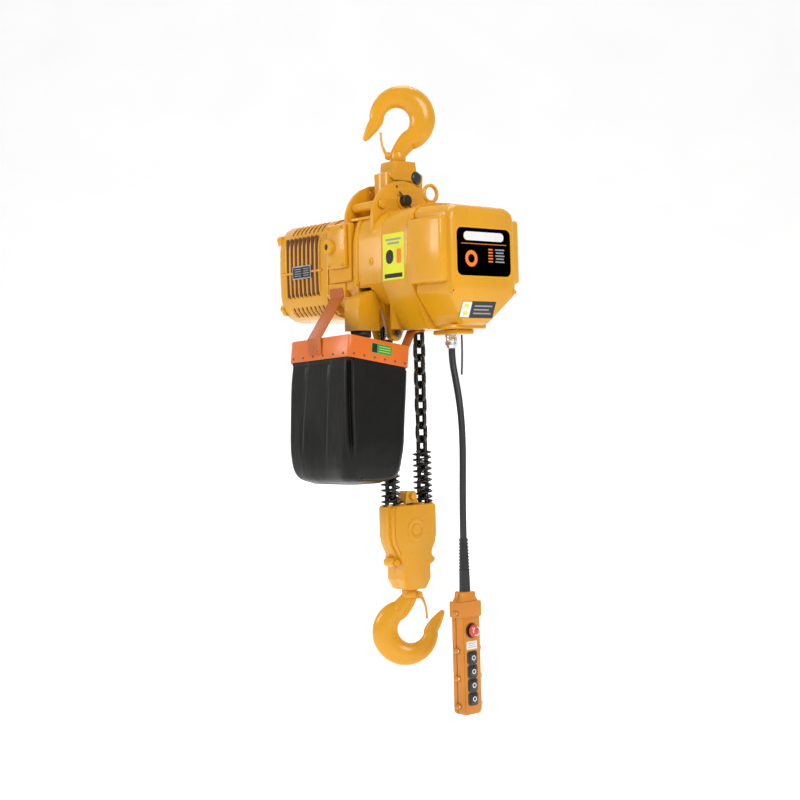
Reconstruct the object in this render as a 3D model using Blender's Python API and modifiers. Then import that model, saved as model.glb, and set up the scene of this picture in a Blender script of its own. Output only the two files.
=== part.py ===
"""An electric chain hoist with two falls of chain, at real size.

Metres, +Z up. The origin is the saddle of the upper hook, where the hoist hangs, and
the Z axis is the load line. +X runs from the motor to the control cover, and the chain
bag hangs on the -Y side. Every separate piece is one object. Pieces that move together
are parented to an empty, which stands on the axis of their joint.
"""

import math

import bpy
import bmesh
from mathutils import Matrix, Vector

# Load chain and its wheels
CHAIN_WIRE = 0.010
CHAIN_PITCH = 0.030
CHAIN_WIDTH = 0.033
WHEEL_POCKETS = 5
CROWN_OVERLAP = 0.0026
RUN_END_EXTRA = 0.0018
CHAIN_CLEARANCE = 0.0018
FALL_PITCHES = 19
DEAD_END_PITCHES = 14
UPPER_FALL_LINKS = 10
SLACK_ROUTE = [
    (-0.0500, -0.3800), (-0.0620, -0.4072), (-0.0820, -0.4290), (-0.1045, -0.4482),
    (-0.1165, -0.4755), (-0.1165, -0.5053), (-0.1165, -0.5351), (-0.1165, -0.5649),
]

# Hook forging, in the hook's own plane: u across, w up from the saddle
HOOK_TURN = math.radians(50.0)
BOWL_RADIUS = 0.0285
BOWL_OFFSET = 0.0007
HOOK_OUTER_RADIUS = 0.0723
HOOK_OUTER_CENTRE = (0.0123, -0.0219)
HOOK_FLATTEN = 0.70
NECK_RADIUS = 0.0175
NECK_END = 0.1165
SHANK_RADIUS = 0.012
SHANK_END = 0.169
NUT_RADIUS = 0.0182
NUT_HEIGHT = 0.015
BEARING_RADIUS = 0.0186
BEARING_HEIGHT = 0.009
LATCH_HINGE = (-0.0235, -0.1030)
LATCH_TIP = (-0.0355, -0.0540)
LATCH_WIDTH = 0.020
LATCH_SHEET = 0.0025
LATCH_RIVET_RADIUS = 0.003

# Gaps between neighbours
GAP = 0.0003
RUNNING_GAP = 0.0004
SWIVEL_GAP = 0.0010

# Suspension
YOKE_TOP = -0.1180
YOKE_SHOULDER = -0.1370
YOKE_HEAD_END = -0.1610
PLUG_Y = 0.0280
PLUG_Z = -0.1535
PLUG_RADIUS = 0.0142
YOKE_BOTTOM = -0.2255
YOKE_HALF_WIDTH = 0.0500
YOKE_HALF_HEAD = 0.0280
YOKE_HALF_WEB = 0.0220
YOKE_COLLAR_RADIUS = 0.0275
PIN_Y = -0.0160
PIN_Z = -0.2070
PIN_RADIUS = 0.0125
EAR_THICKNESS = 0.0080
FRONT_EAR_X = 0.0255
REAR_EAR_X = -0.0650
EAR_RADIUS = 0.0880
EAR_TOP = 0.0440
STAY_Y = 0.0620
STAY_Z = -0.2170
STAY_RADIUS = 0.0105

# Casings along the X axis
AXIS_Z = -0.3500
CASE_WALL = 0.0060
CASE_HALF_WIDTH = 0.1070
CASE_TOP = -0.2290
CASE_WELL = -0.2410
MOTOR_BOTTOM = -0.4550
SIDE_END = -0.3880
SPROCKET_CASE_BOTTOM = -0.4320
GEAR_CASE_BOTTOM = -0.4900
GEAR_CASE_BOTTOM_HALF = 0.0570
SPROCKET_CASE_REAR = -0.0260
SPROCKET_CASE_LENGTH = 0.0900
GEAR_CASE_LENGTH = 0.0880
FRAME_LENGTH = 0.1060
MOTOR_LENGTH = 0.1700
END_COVER_LENGTH = 0.0150
COVER_LENGTH = 0.1150
COVER_FLANGE = 0.0080
CORNER_EXPONENT = 4.0
OUTLINE_STEPS = 7

# Drive
MODULE = 0.0025
PINION_TEETH = 10
WHEEL_TEETH = 30
GEAR_WIDTH = 0.018
HUB_RADIUS = 0.020
ROTOR_SHAFT_RADIUS = 0.009
BEARING_OUTER = 0.0270
WHEEL_HALF_WIDTH = 0.016

# Hook block
BLOCK_TOP = -0.8640
BLOCK_HALF_WIDTH = 0.0660
BLOCK_HALF_FLANGE = 0.0130
BLOCK_HALF_BODY = 0.0290
BODY_INSET = 0.0060
BLOCK_BOLT_Y = 0.0495
BLOCK_BOLT_DROP = 0.0690
BLOCK_FOOT_HALF = 0.0370
SHEAVE_PIN_RADIUS = 0.010
BOLT_RADIUS = 0.0040
SPRING_RADIUS = 0.0195
SPRING_WIRE = 0.0040
SPRING_LENGTH = 0.1140
SPRING_TURNS = 8

# Chain bag
BAG_X = (-0.0970, 0.1090)
BAG_Y = (-0.2365, -0.0715)
RIM_MIDDLE_Z = -0.5395
RIM_HEIGHT = 0.0460
RIM_SHEET = 0.0020
RIM_ROLL = math.radians(9.0)
RIM_PITCH = math.radians(2.2)
BAG_BOTTOM = -0.8120
BAG_SHEET = 0.0025

# Control cable and pendant
GLAND_X = 0.1600
GLAND_RADIUS = 0.0130
GLAND_BOTTOM = -0.5320
MOUTH_DEPTH = 0.0028
CABLE_RADIUS = 0.0072
PENDANT_X = 0.1800
PENDANT_HALF_DEPTH = 0.0155
PENDANT_HALF_WIDTH = 0.0275
PENDANT_TOP = -1.0600
PENDANT_BOTTOM = -1.2990
BOOT_TOP = -0.9320
BUTTON_SIZE = 0.0200
BUTTON_PITCH = 0.0286
BUTTON_TOP_Z = -1.1800
BUTTON_PROUD = 0.0065
ESTOP_Z = -1.1230
ESTOP_RADIUS = 0.0135
CABLE_ROUTE = [
    (0.1600, 0.0, -0.5323), (0.1601, 0.0, -0.5450), (0.1622, 0.0, -0.5650),
    (0.1668, 0.0, -0.5870), (0.1726, 0.0, -0.6120), (0.1782, 0.0, -0.6400),
    (0.1824, 0.0, -0.6700), (0.1848, 0.0, -0.7020), (0.1854, 0.0, -0.7360),
    (0.1846, 0.0, -0.7700), (0.1832, 0.0, -0.8050), (0.1817, 0.0, -0.8420),
    (0.1806, 0.0, -0.8800), (0.1801, 0.0, -0.9100), (0.1800, 0.0, -0.9317),
]
WIRE_ROUTE = [
    (0.1920, 0.0, -0.5050), (0.1921, 0.0, -0.5200), (0.1917, 0.0, -0.5450),
    (0.1903, 0.0, -0.5700), (0.1888, 0.0, -0.5880),
]
WIRE_RADIUS = 0.0020

FRAME_REAR = SPROCKET_CASE_REAR - FRAME_LENGTH
MOTOR_REAR = FRAME_REAR - MOTOR_LENGTH
SPROCKET_CASE_FRONT = SPROCKET_CASE_REAR + SPROCKET_CASE_LENGTH
COVER_REAR = SPROCKET_CASE_FRONT + GEAR_CASE_LENGTH
COVER_FRONT = COVER_REAR + COVER_LENGTH
LINKS_PER_TURN = 2 * WHEEL_POCKETS
LINK_ANGLE = 2 * math.pi / LINKS_PER_TURN
CHAIN_RADIUS = CHAIN_PITCH / (2 * math.tan(LINK_ANGLE / 2))
IDLER_Z = AXIS_Z - FALL_PITCHES * CHAIN_PITCH
DEAD_END_Z = IDLER_Z + DEAD_END_PITCHES * CHAIN_PITCH
DEAD_END_LINK = FALL_PITCHES + WHEEL_POCKETS + DEAD_END_PITCHES
LOWER_SADDLE_Z = -1.1680
BLOCK_BOTTOM = LOWER_SADDLE_Z + NECK_END + SWIVEL_GAP
DEAD_PIN_RADIUS = (CHAIN_WIDTH - 2 * CHAIN_WIRE) / 2 - 0.001
DEAD_PIN_Z = DEAD_END_Z + CHAIN_PITCH / 2 - CROWN_OVERLAP - DEAD_PIN_RADIUS - GAP
GEAR_DISTANCE = MODULE * (PINION_TEETH + WHEEL_TEETH) / 2

FINISHES = {
    "yellow_paint": ((0.80, 0.40, 0.035), 0.32, 0.0),
    "orange_paint": ((0.78, 0.18, 0.02), 0.35, 0.0),
    "black_chain": ((0.02, 0.02, 0.018), 0.38, 0.9),
    "bright_steel": ((0.60, 0.60, 0.60), 0.25, 1.0),
    "dark_steel": ((0.06, 0.055, 0.05), 0.35, 0.9),
    "chrome": ((0.85, 0.85, 0.86), 0.08, 1.0),
    "copper": ((0.60, 0.25, 0.12), 0.35, 1.0),
    "black_rubber": ((0.02, 0.02, 0.02), 0.6, 0.0),
    "black_fabric": ((0.03, 0.03, 0.025), 0.45, 0.0),
    "black_plastic": ((0.03, 0.03, 0.03), 0.35, 0.0),
    "grey_plastic": ((0.35, 0.35, 0.35), 0.5, 0.0),
    "yellow_plastic": ((0.80, 0.42, 0.04), 0.35, 0.0),
    "red_plastic": ((0.65, 0.04, 0.02), 0.3, 0.0),
}

YZ = Matrix(((0, 0, 1, 0), (1, 0, 0, 0), (0, 1, 0, 0), (0, 0, 0, 1)))
XY = Matrix.Identity(4)
HOOK_PLANE = Matrix.Rotation(HOOK_TURN, 4, "Z") @ Matrix.Rotation(math.pi / 2, 4, "X")
ROTATED_HOOK_PLANE = (
    Matrix.Translation((0, 0, LOWER_SADDLE_Z)) @ HOOK_PLANE @ Matrix.Rotation(math.pi, 4, "Z")
)


# ---------------------------------------------------------------- scene and helpers


def clear_scene():
    for obj in list(bpy.data.objects):
        bpy.data.objects.remove(obj, do_unlink=True)


def new_collection(name):
    collection = bpy.data.collections.new(name)
    bpy.context.scene.collection.children.link(collection)
    return collection


clear_scene()
model = new_collection("electric_chain_hoist")
cutters = new_collection("cutters")


def new_material(name, colour, roughness, metallic):
    material = bpy.data.materials.new(name)
    material.use_nodes = True
    shader = material.node_tree.nodes["Principled BSDF"]
    shader.inputs["Base Color"].default_value = (*colour, 1.0)
    shader.inputs["Roughness"].default_value = roughness
    shader.inputs["Metallic"].default_value = metallic
    return material


materials = {name: new_material(name, *finish) for name, finish in FINISHES.items()}


def new_pivot(name, location):
    """An empty on a joint's axis, which carries the pieces that move about it."""
    pivot = bpy.data.objects.new(name, None)
    pivot.empty_display_size = 0.03
    pivot.location = location
    model.objects.link(pivot)
    return pivot


def add_node(obj, name, finish, pivot):
    """Names a piece, paints it and hangs it on its pivot where it stands."""
    obj.name = name
    obj.data.name = name
    obj.data.materials.clear()
    obj.data.materials.append(materials[finish])
    obj.data.shade_smooth()
    obj.data.set_sharp_from_angle(angle=math.radians(35))
    obj.parent = pivot
    obj.matrix_parent_inverse = Matrix.Translation(pivot.location).inverted()
    return obj


def from_bmesh(bm, matrix=XY):
    mesh = bpy.data.meshes.new("piece")
    bmesh.ops.recalc_face_normals(bm, faces=bm.faces)
    bm.to_mesh(mesh)
    bm.free()
    obj = bpy.data.objects.new("piece", mesh)
    obj.matrix_world = matrix
    model.objects.link(obj)
    return obj


def box(low, high, matrix=XY):
    low, high = Vector(low), Vector(high)
    bm = bmesh.new()
    bmesh.ops.create_cube(bm, size=1.0)
    bmesh.ops.scale(bm, vec=high - low, verts=bm.verts)
    bmesh.ops.translate(bm, vec=(high + low) / 2, verts=bm.verts)
    return from_bmesh(bm, matrix)


def centred_box(centre, size, matrix=XY):
    centre, half = Vector(centre), Vector(size) / 2
    return box(centre - half, centre + half, matrix)


def cylinder(start, end, radius, sides=20, end_radius=None):
    """A cylinder or cone from one point to another."""
    start, end = Vector(start), Vector(end)
    along = end - start
    bm = bmesh.new()
    bmesh.ops.create_cone(
        bm, cap_ends=True, segments=sides, radius1=radius,
        radius2=radius if end_radius is None else end_radius, depth=along.length,
    )
    turn = along.to_track_quat("Z", "Y").to_matrix().to_4x4()
    return from_bmesh(bm, Matrix.Translation((start + end) / 2) @ turn)


def along_x(y, z, low, high, radius, sides=20, end_radius=None):
    return cylinder((low, y, z), (high, y, z), radius, sides, end_radius)


def turned(profile, origin, direction=(0, 0, 1), sides=24, closed=True):
    """A profile of (radius, height) points, turned about a direction through origin."""
    bm = bmesh.new()
    verts = [bm.verts.new((radius, 0, height)) for radius, height in profile]
    for first, second in zip(verts, verts[1:] + verts[:1] if closed else verts[1:]):
        bm.edges.new((first, second))
    mesh = bpy.data.meshes.new("piece")
    bm.to_mesh(mesh)
    bm.free()
    obj = bpy.data.objects.new("piece", mesh)
    turn = Vector(direction).to_track_quat("Z", "Y").to_matrix().to_4x4()
    obj.matrix_world = Matrix.Translation(Vector(origin)) @ turn
    model.objects.link(obj)
    screw = obj.modifiers.new("Screw", "SCREW")
    screw.steps = sides
    screw.render_steps = sides
    screw.use_merge_vertices = True
    screw.merge_threshold = 1e-5
    return obj


def ring(origin, direction, inner, outer, height, sides=24):
    profile = [(outer, height), (outer, 0), (inner, 0), (inner, height)]
    return turned(profile, origin, direction, sides)


def curve_to_mesh(curve, matrix):
    """The mesh of a curve, with its loose caps welded."""
    guide = bpy.data.objects.new("guide", curve)
    guide.matrix_world = matrix
    model.objects.link(guide)
    bpy.context.view_layer.update()
    graph = bpy.context.evaluated_depsgraph_get()
    mesh = bpy.data.meshes.new_from_object(guide.evaluated_get(graph))
    bpy.data.objects.remove(guide)
    bm = bmesh.new()
    bm.from_mesh(mesh)
    bmesh.ops.remove_doubles(bm, verts=bm.verts, dist=1e-6)
    bmesh.ops.recalc_face_normals(bm, faces=bm.faces)
    bm.to_mesh(mesh)
    bm.free()
    obj = bpy.data.objects.new("piece", mesh)
    obj.matrix_world = matrix
    model.objects.link(obj)
    return obj


def plate(outline, low, high, plane=YZ):
    """A flat outline, extruded from low to high along the plane's normal."""
    curve = bpy.data.curves.new("outline", "CURVE")
    curve.dimensions = "2D"
    curve.fill_mode = "BOTH"
    curve.extrude = (high - low) / 2
    spline = curve.splines.new("POLY")
    spline.points.add(len(outline) - 1)
    for point, (u, v) in zip(spline.points, outline):
        point.co = (u, v, 0, 1)
    spline.use_cyclic_u = True
    return curve_to_mesh(curve, plane @ Matrix.Translation((0, 0, (low + high) / 2)))


def swept(runs, radius, radii=None, cyclic=False, resolution=2, matrix=XY):
    """A round bar along one or more runs of points."""
    curve = bpy.data.curves.new("run", "CURVE")
    curve.dimensions = "3D"
    curve.bevel_depth = radius
    curve.bevel_resolution = resolution
    curve.use_fill_caps = True
    for run in runs:
        spline = curve.splines.new("POLY")
        spline.points.add(len(run) - 1)
        for index, point in enumerate(run):
            spline.points[index].co = (*point, 1)
            spline.points[index].radius = radii[index] if radii else 1.0
        spline.use_cyclic_u = cyclic
    return curve_to_mesh(curve, matrix)


def loft(sections, close_start=True, close_end=True):
    """Skins a list of equal rings of points."""
    bm = bmesh.new()
    rings = [[bm.verts.new(point) for point in section] for section in sections]
    count = len(rings[0])
    for first, second in zip(rings, rings[1:]):
        for index in range(count):
            after = (index + 1) % count
            bm.faces.new((first[index], first[after], second[after], second[index]))
    if close_start:
        bm.faces.new(list(reversed(rings[0])))
    if close_end:
        bm.faces.new(rings[-1])
    return from_bmesh(bm)


def hull(points):
    bm = bmesh.new()
    for point in points:
        bm.verts.new(point)
    bmesh.ops.convex_hull(bm, input=bm.verts)
    bmesh.ops.dissolve_limit(bm, angle_limit=math.radians(1), verts=bm.verts, edges=bm.edges)
    return from_bmesh(bm)


def round_edges(obj, width, segments=2, angle=30):
    bevel = obj.modifiers.new("Bevel", "BEVEL")
    bevel.width = width
    bevel.segments = segments
    bevel.limit_method = "ANGLE"
    bevel.angle_limit = math.radians(angle)
    return obj


def combine(base, others, operation):
    for other in others:
        boolean = base.modifiers.new("Boolean", "BOOLEAN")
        boolean.operation = operation
        boolean.solver = "EXACT"
        boolean.object = other
        other.hide_render = True
        other.display_type = "WIRE"
        model.objects.unlink(other)
        cutters.objects.link(other)
    return base


def half_space(side):
    """Corners of a block that cuts a half of a split housing flat at the joint."""
    low, high = sorted((side * GAP / 2, -side * 0.2))
    return (low, -0.2, -1.4), (high, 0.2, 0.2)


def union(base, *others):
    return combine(base, others, "UNION")


def subtract(base, *others):
    return combine(base, others, "DIFFERENCE")


def mirrored(points):
    """A half outline from top to bottom at +y, closed by its mirror image."""
    return list(points) + [(-y, z) for y, z in reversed(points) if y > 0]


def smooth_route(points, spacing):
    """Points at an even spacing on a Catmull-Rom curve through the route's own points."""
    points = [Vector(point) for point in points]
    padded = [2 * points[0] - points[1], *points, 2 * points[-1] - points[-2]]
    fine = []
    for before, start, end, after in zip(padded, padded[1:], padded[2:], padded[3:]):
        for step in range(12):
            t = step / 12
            fine.append(0.5 * (
                2 * start + (end - before) * t
                + (2 * before - 5 * start + 4 * end - after) * t ** 2
                + (3 * start - before - 3 * end + after) * t ** 3
            ))
    fine.append(points[-1])
    lengths = [0.0]
    for first, second in zip(fine, fine[1:]):
        lengths.append(lengths[-1] + (second - first).length)
    count = max(2, round(lengths[-1] / spacing))
    route = []
    for index in range(count + 1):
        target = lengths[-1] * index / count
        place = max(i for i, length in enumerate(lengths) if length <= target + 1e-12)
        place = min(place, len(fine) - 2)
        share = (target - lengths[place]) / (lengths[place + 1] - lengths[place])
        route.append(fine[place].lerp(fine[place + 1], share))
    return route


# ---------------------------------------------------------------- hooks and latches


def hook_sections():
    """Centres and radii of the forging, from the tip over the bowl and down to the neck."""
    bowl = Vector((-BOWL_OFFSET, -BOWL_RADIUS + 0.001))
    towards = Vector(HOOK_OUTER_CENTRE) - bowl
    tip_end = Vector((-0.0725, -0.0672))
    tip = [(tip_end, 0.0022), (Vector((-0.0690, -0.0640)), 0.0060),
           (Vector((-0.0620, -0.0575)), 0.0098), (Vector((-0.0540, -0.0465)), 0.0130)]
    sections = list(tip)
    for degrees in range(190, -76, -22):
        angle = math.radians(degrees)
        ray = Vector((math.cos(angle), math.sin(angle)))
        across = towards.dot(ray)
        outer = across + math.sqrt(across ** 2 + HOOK_OUTER_RADIUS ** 2 - towards.length_squared)
        sections.append((bowl + ray * (BOWL_RADIUS + outer) / 2, (outer - BOWL_RADIUS) / 2))
    sections.append((Vector((0.0045, -0.0940)), NECK_RADIUS + 0.0010))
    sections.append((Vector((0.0005, -0.1060)), NECK_RADIUS))
    return sections


def make_hook(name, plane, pivot):
    sections = hook_sections()
    run = [(centre.x, centre.y, 0) for centre, _ in sections]
    radii = [radius for _, radius in sections]
    flat = Matrix.Diagonal((1, 1, HOOK_FLATTEN, 1))
    hook = swept([run], 1.0, radii, resolution=2)
    hook.data.transform(flat)
    hook.matrix_world = plane
    to_point = lambda u, w: plane @ Vector((u, w, 0))
    neck = cylinder(to_point(0, -0.100), to_point(0, -NECK_END), NECK_RADIUS, 20)
    shank = cylinder(to_point(0, -0.110), to_point(0, -SHANK_END), SHANK_RADIUS, 16)
    hinge_u, hinge_w = LATCH_HINGE
    lug_half = LATCH_WIDTH / 2 - LATCH_SHEET - 2 * RUNNING_GAP
    lug_size = (0.020, 0.016, 2 * lug_half)
    lug = centred_box((hinge_u + 0.006, hinge_w, 0), lug_size, plane)
    hole = cylinder(
        plane @ Vector((hinge_u, hinge_w, -LATCH_WIDTH)),
        plane @ Vector((hinge_u, hinge_w, LATCH_WIDTH)),
        LATCH_RIVET_RADIUS + RUNNING_GAP, 12,
    )
    union(hook, neck, shank, lug)
    subtract(hook, hole)
    add_node(hook, name, "yellow_paint", pivot)


def make_latch(name, plane, pivot):
    hinge, tip = Vector(LATCH_HINGE), Vector(LATCH_TIP)
    along = (tip - hinge).normalized()
    turn = math.atan2(along.y, along.x)
    local = plane @ Matrix.Translation((hinge.x, hinge.y, 0)) @ Matrix.Rotation(turn, 4, "Z")
    length = (tip - hinge).length
    half = LATCH_WIDTH / 2
    tongue = box((0.011, 0.0045, -half), (length, 0.0045 + LATCH_SHEET, half), local)
    cheeks = []
    for low in (-half, half - LATCH_SHEET):
        outline = [(-0.005, -0.004), (0.004, -0.005), (0.024, 0.0047), (0.024, 0.007),
                   (0.010, 0.007), (-0.005, 0.005)]
        cheeks.append(plate(outline, low, low + LATCH_SHEET, local))
    rivet = cylinder(local @ Vector((0, 0, -half - 0.0015)), local @ Vector((0, 0, half + 0.0015)),
                     LATCH_RIVET_RADIUS, 12)
    union(tongue, *cheeks, rivet)
    add_node(tongue, name, "bright_steel", pivot)


def make_nut(name, plane, pivot, bearing_pivot, bearing_name):
    """The nut and the thrust bearing that carry a hook in its housing."""
    nut_end = SHANK_END - 0.004
    start = plane @ Vector((0, -nut_end, 0))
    up = (plane.to_3x3() @ Vector((0, 1, 0))).normalized()
    nut = cylinder(start, start + up * NUT_HEIGHT, NUT_RADIUS, 6)
    subtract(nut, cylinder(start - up * 0.01, start + up * (NUT_HEIGHT + 0.01), SHANK_RADIUS + GAP, 16))
    add_node(nut, name, "dark_steel", pivot)
    seat = start + up * (NUT_HEIGHT + GAP)
    bearing = ring(seat, up, SHANK_RADIUS + SWIVEL_GAP, BEARING_RADIUS, BEARING_HEIGHT, 20)
    add_node(bearing, bearing_name, "bright_steel", bearing_pivot)


# ---------------------------------------------------------------- suspension


def make_yoke(pivot):
    """Two cast halves around the nut of the upper hook, hung on the suspension pin."""
    collar, width = YOKE_COLLAR_RADIUS, YOKE_HALF_WIDTH
    outline = mirrored([
        (collar, YOKE_TOP), (collar + 0.002, YOKE_SHOULDER), (width, YOKE_SHOULDER - 0.008),
        (width, YOKE_BOTTOM + 0.012), (width - 0.012, YOKE_BOTTOM),
    ])
    cavity_top = -(SHANK_END - 0.004) + NUT_HEIGHT + BEARING_HEIGHT + 2 * GAP
    cavity_radius = BEARING_RADIUS + SWIVEL_GAP
    for name, side in (("yoke_front", 1), ("yoke_rear", -1)):
        low, high = sorted((-side * 0.010, side * YOKE_HALF_WEB))
        half = plate(outline, low, high)
        low, high = sorted((-side * 0.012, side * YOKE_HALF_HEAD))
        head_outline = [
            (collar - 0.002, YOKE_TOP - 0.001), (collar + 0.001, YOKE_SHOULDER - 0.001),
            (width - 0.004, YOKE_SHOULDER - 0.010), (width - 0.005, YOKE_HEAD_END - 0.002),
            (PLUG_Y + 0.010, YOKE_HEAD_END - 0.0095), (PLUG_Y - 0.008, YOKE_HEAD_END - 0.0070),
            (PLUG_Y - 0.016, YOKE_HEAD_END), (-width + 0.014, YOKE_HEAD_END),
            (-width + 0.005, YOKE_SHOULDER - 0.018), (-width + 0.004, YOKE_SHOULDER - 0.010),
            (-collar - 0.001, YOKE_SHOULDER - 0.001), (-collar + 0.002, YOKE_TOP - 0.001),
        ]
        head = plate(head_outline, low, high)
        cavity = cylinder((0, 0, -SHANK_END - 0.004), (0, 0, cavity_top), cavity_radius, 20)
        bore = cylinder((0, 0, cavity_top - 0.002), (0, 0, YOKE_TOP + 0.01),
                        SHANK_RADIUS + SWIVEL_GAP, 16)
        pin_hole = along_x(PIN_Y, PIN_Z, -0.1, 0.1, PIN_RADIUS + RUNNING_GAP)
        union(half, head)
        if side < 0:
            boss_end = REAR_EAR_X + EAR_THICKNESS + SWIVEL_GAP
            union(half, along_x(PIN_Y, PIN_Z, boss_end, -YOKE_HALF_WEB + 0.004, 0.0175))
        else:
            union(half, along_x(PIN_Y, PIN_Z, 0.012, FRONT_EAR_X - SWIVEL_GAP, 0.0175))
            subtract(half, along_x(PLUG_Y, PLUG_Z, YOKE_HALF_HEAD - 0.006, 0.1, PLUG_RADIUS + 0.0005))
        subtract(half, box(*half_space(side)), cavity, bore, pin_hole)
        add_node(half, name, "yellow_paint", pivot)
    plug = turned(
        [(0, 0.0085), (0.010, 0.0085), (PLUG_RADIUS, 0.0055), (PLUG_RADIUS, 0), (0, 0)],
        (YOKE_HALF_HEAD - 0.006 + GAP, PLUG_Y, PLUG_Z), (1, 0, 0), 20, closed=False)
    add_node(plug, "yoke_plug", "black_plastic", pivot)


def make_suspension_pin(pivot):
    rear = REAR_EAR_X - 0.010
    front = FRONT_EAR_X + EAR_THICKNESS + 0.016
    pin = round_edges(along_x(PIN_Y, PIN_Z, rear, front, PIN_RADIUS - GAP / 2), 0.0015, 1)
    cotter_x = FRONT_EAR_X + EAR_THICKNESS + 0.009
    offset = Vector((0, 0.012, -0.012))
    centre = Vector((cotter_x, PIN_Y, PIN_Z))
    cotter = cylinder(centre - 1.5 * offset, centre + 1.5 * offset, 0.0020, 8)
    union(pin, cotter)
    add_node(pin, "suspension_pin", "dark_steel", pivot)


def make_stay_bolt(pivot):
    """The spacer tube and bolt that tie the two ears together."""
    y = PIN_Y - STAY_Y
    head_low = FRONT_EAR_X + EAR_THICKNESS + GAP
    tube = along_x(y, STAY_Z, REAR_EAR_X + EAR_THICKNESS + GAP, FRONT_EAR_X - GAP, STAY_RADIUS, 16)
    rod = along_x(y, STAY_Z, REAR_EAR_X - 0.009, head_low + 0.002, 0.0060, 12)
    head = along_x(y, STAY_Z, head_low, head_low + 0.007, 0.0105, 6)
    add_node(union(tube, rod, head), "stay_bolt", "yellow_paint", pivot)


# ---------------------------------------------------------------- casings


def crown(half_width, top, bottom):
    """The upper half of a superellipse, from the middle of one side over the top."""
    middle = (top + bottom) / 2
    height = top - middle
    points = []
    for step in range(2 * OUTLINE_STEPS + 1):
        angle = math.pi * step / (2 * OUTLINE_STEPS)
        cosine, sine = math.cos(angle), math.sin(angle)
        points.append((
            math.copysign(half_width * abs(cosine) ** (2 / CORNER_EXPONENT), cosine),
            middle + height * sine ** (2 / CORNER_EXPONENT),
        ))
    return points


def casing_outline(bottom, bottom_half, inset=0.0, side_end=SIDE_END):
    """A crowned top on straight sides, with flanks that slope in to a flat bottom."""
    top_part = crown(CASE_HALF_WIDTH - inset, CASE_TOP - inset, 2 * AXIS_Z - CASE_TOP)
    flank = [
        (CASE_HALF_WIDTH - inset, side_end), (bottom_half + 0.010 - inset / 2, bottom + 0.010),
        (bottom_half - inset / 2, bottom + inset),
    ]
    return top_part + [(-y, z) for y, z in flank] + list(reversed(flank))


def motor_outline(inset=0.0):
    middle = (CASE_TOP + MOTOR_BOTTOM) / 2
    top_part = crown(CASE_HALF_WIDTH - inset, CASE_TOP - inset, MOTOR_BOTTOM + inset)
    return top_part + [(-y, 2 * middle - z) for y, z in top_part[1:-1]]


def ear_outline():
    """An arch over the suspension pin, down to the shoulders of the casing."""
    centre_z = PIN_Z + EAR_TOP - EAR_RADIUS
    points = []
    for step in range(13):
        angle = math.pi * step / 12
        points.append((PIN_Y + EAR_RADIUS * math.cos(angle), centre_z + EAR_RADIUS * math.sin(angle)))
    low = CASE_TOP - 0.060
    return points + [(PIN_Y - EAR_RADIUS, low), (PIN_Y + EAR_RADIUS, low)]


def ear(low_x):
    """A suspension ear, with the holes of the pin, the stays and the small eye."""
    piece = plate(ear_outline(), low_x, low_x + EAR_THICKNESS)
    boss = along_x(PIN_Y, PIN_Z, low_x, low_x + EAR_THICKNESS + 0.003, 0.0185)
    return union(piece, boss)


def ear_holes(low_x):
    low, high = low_x - 0.02, low_x + EAR_THICKNESS + 0.02
    return [
        along_x(PIN_Y, PIN_Z, low, high, PIN_RADIUS + RUNNING_GAP),
        along_x(PIN_Y - STAY_Y, STAY_Z, low, high, 0.0060 + GAP, 12),
        along_x(PIN_Y - 0.017, PIN_Z + 0.030, low, high, 0.0035, 10),
    ]


def make_motor_frame(pivot):
    """The casing between motor and sprocket, which carries the rear ear."""
    low, high = FRAME_REAR, SPROCKET_CASE_REAR - GAP
    outer = casing_outline(-0.440, 0.060, 0.003, -0.395)
    frame = plate(outer, low + 0.004, high)
    flange = plate(casing_outline(-0.4445, 0.075, 0.0, -0.400), low, low + 0.008)
    rear_ear = ear(REAR_EAR_X)
    inner = plate(casing_outline(-0.440, 0.060, 0.003 + CASE_WALL, -0.395),
                  low + 0.010, REAR_EAR_X)
    inner_front = plate(casing_outline(-0.440, 0.060, 0.003 + CASE_WALL, -0.395),
                        REAR_EAR_X + EAR_THICKNESS, high + 0.01)
    well = box((REAR_EAR_X + EAR_THICKNESS, PIN_Y - 0.075, CASE_WELL),
               (high + 0.01, PIN_Y + 0.075, 0))
    well_skin = box((REAR_EAR_X + 0.004, PIN_Y - 0.078, CASE_WELL - CASE_WALL),
                    (high, PIN_Y + 0.078, CASE_WELL))
    shaft_hole = along_x(0, AXIS_Z, low - 0.01, high + 0.01, BEARING_OUTER + GAP)
    pad = box((FRAME_REAR + 0.020, -CASE_HALF_WIDTH - 0.004, -0.3780),
              (FRAME_REAR + 0.094, -CASE_HALF_WIDTH + 0.012, -0.2500))
    strap_pad = box((FRAME_REAR + 0.012, -CASE_HALF_WIDTH - 0.002, -0.4100),
                    (FRAME_REAR + 0.070, -CASE_HALF_WIDTH + 0.020, -0.3800))
    union(frame, flange, rear_ear, round_edges(pad, 0.003, 1), strap_pad)
    subtract(frame, inner, inner_front)
    union(frame, well_skin)
    subtract(frame, well, shaft_hole, *ear_holes(REAR_EAR_X))
    add_node(frame, "motor_frame", "yellow_paint", pivot)


def lobe_outline():
    """A flange that reaches down from the casing to the pin of the dead end."""
    y, z, radius = -CHAIN_RADIUS, DEAD_PIN_Z, 0.017
    arc = []
    for step in range(9):
        angle = math.radians(200 + 140 * step / 8)
        arc.append((y + radius * math.cos(angle), z + radius * math.sin(angle)))
    return [(-0.084, SPROCKET_CASE_BOTTOM + 0.020)] + arc + [(0.010, SPROCKET_CASE_BOTTOM + 0.020)]


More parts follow.
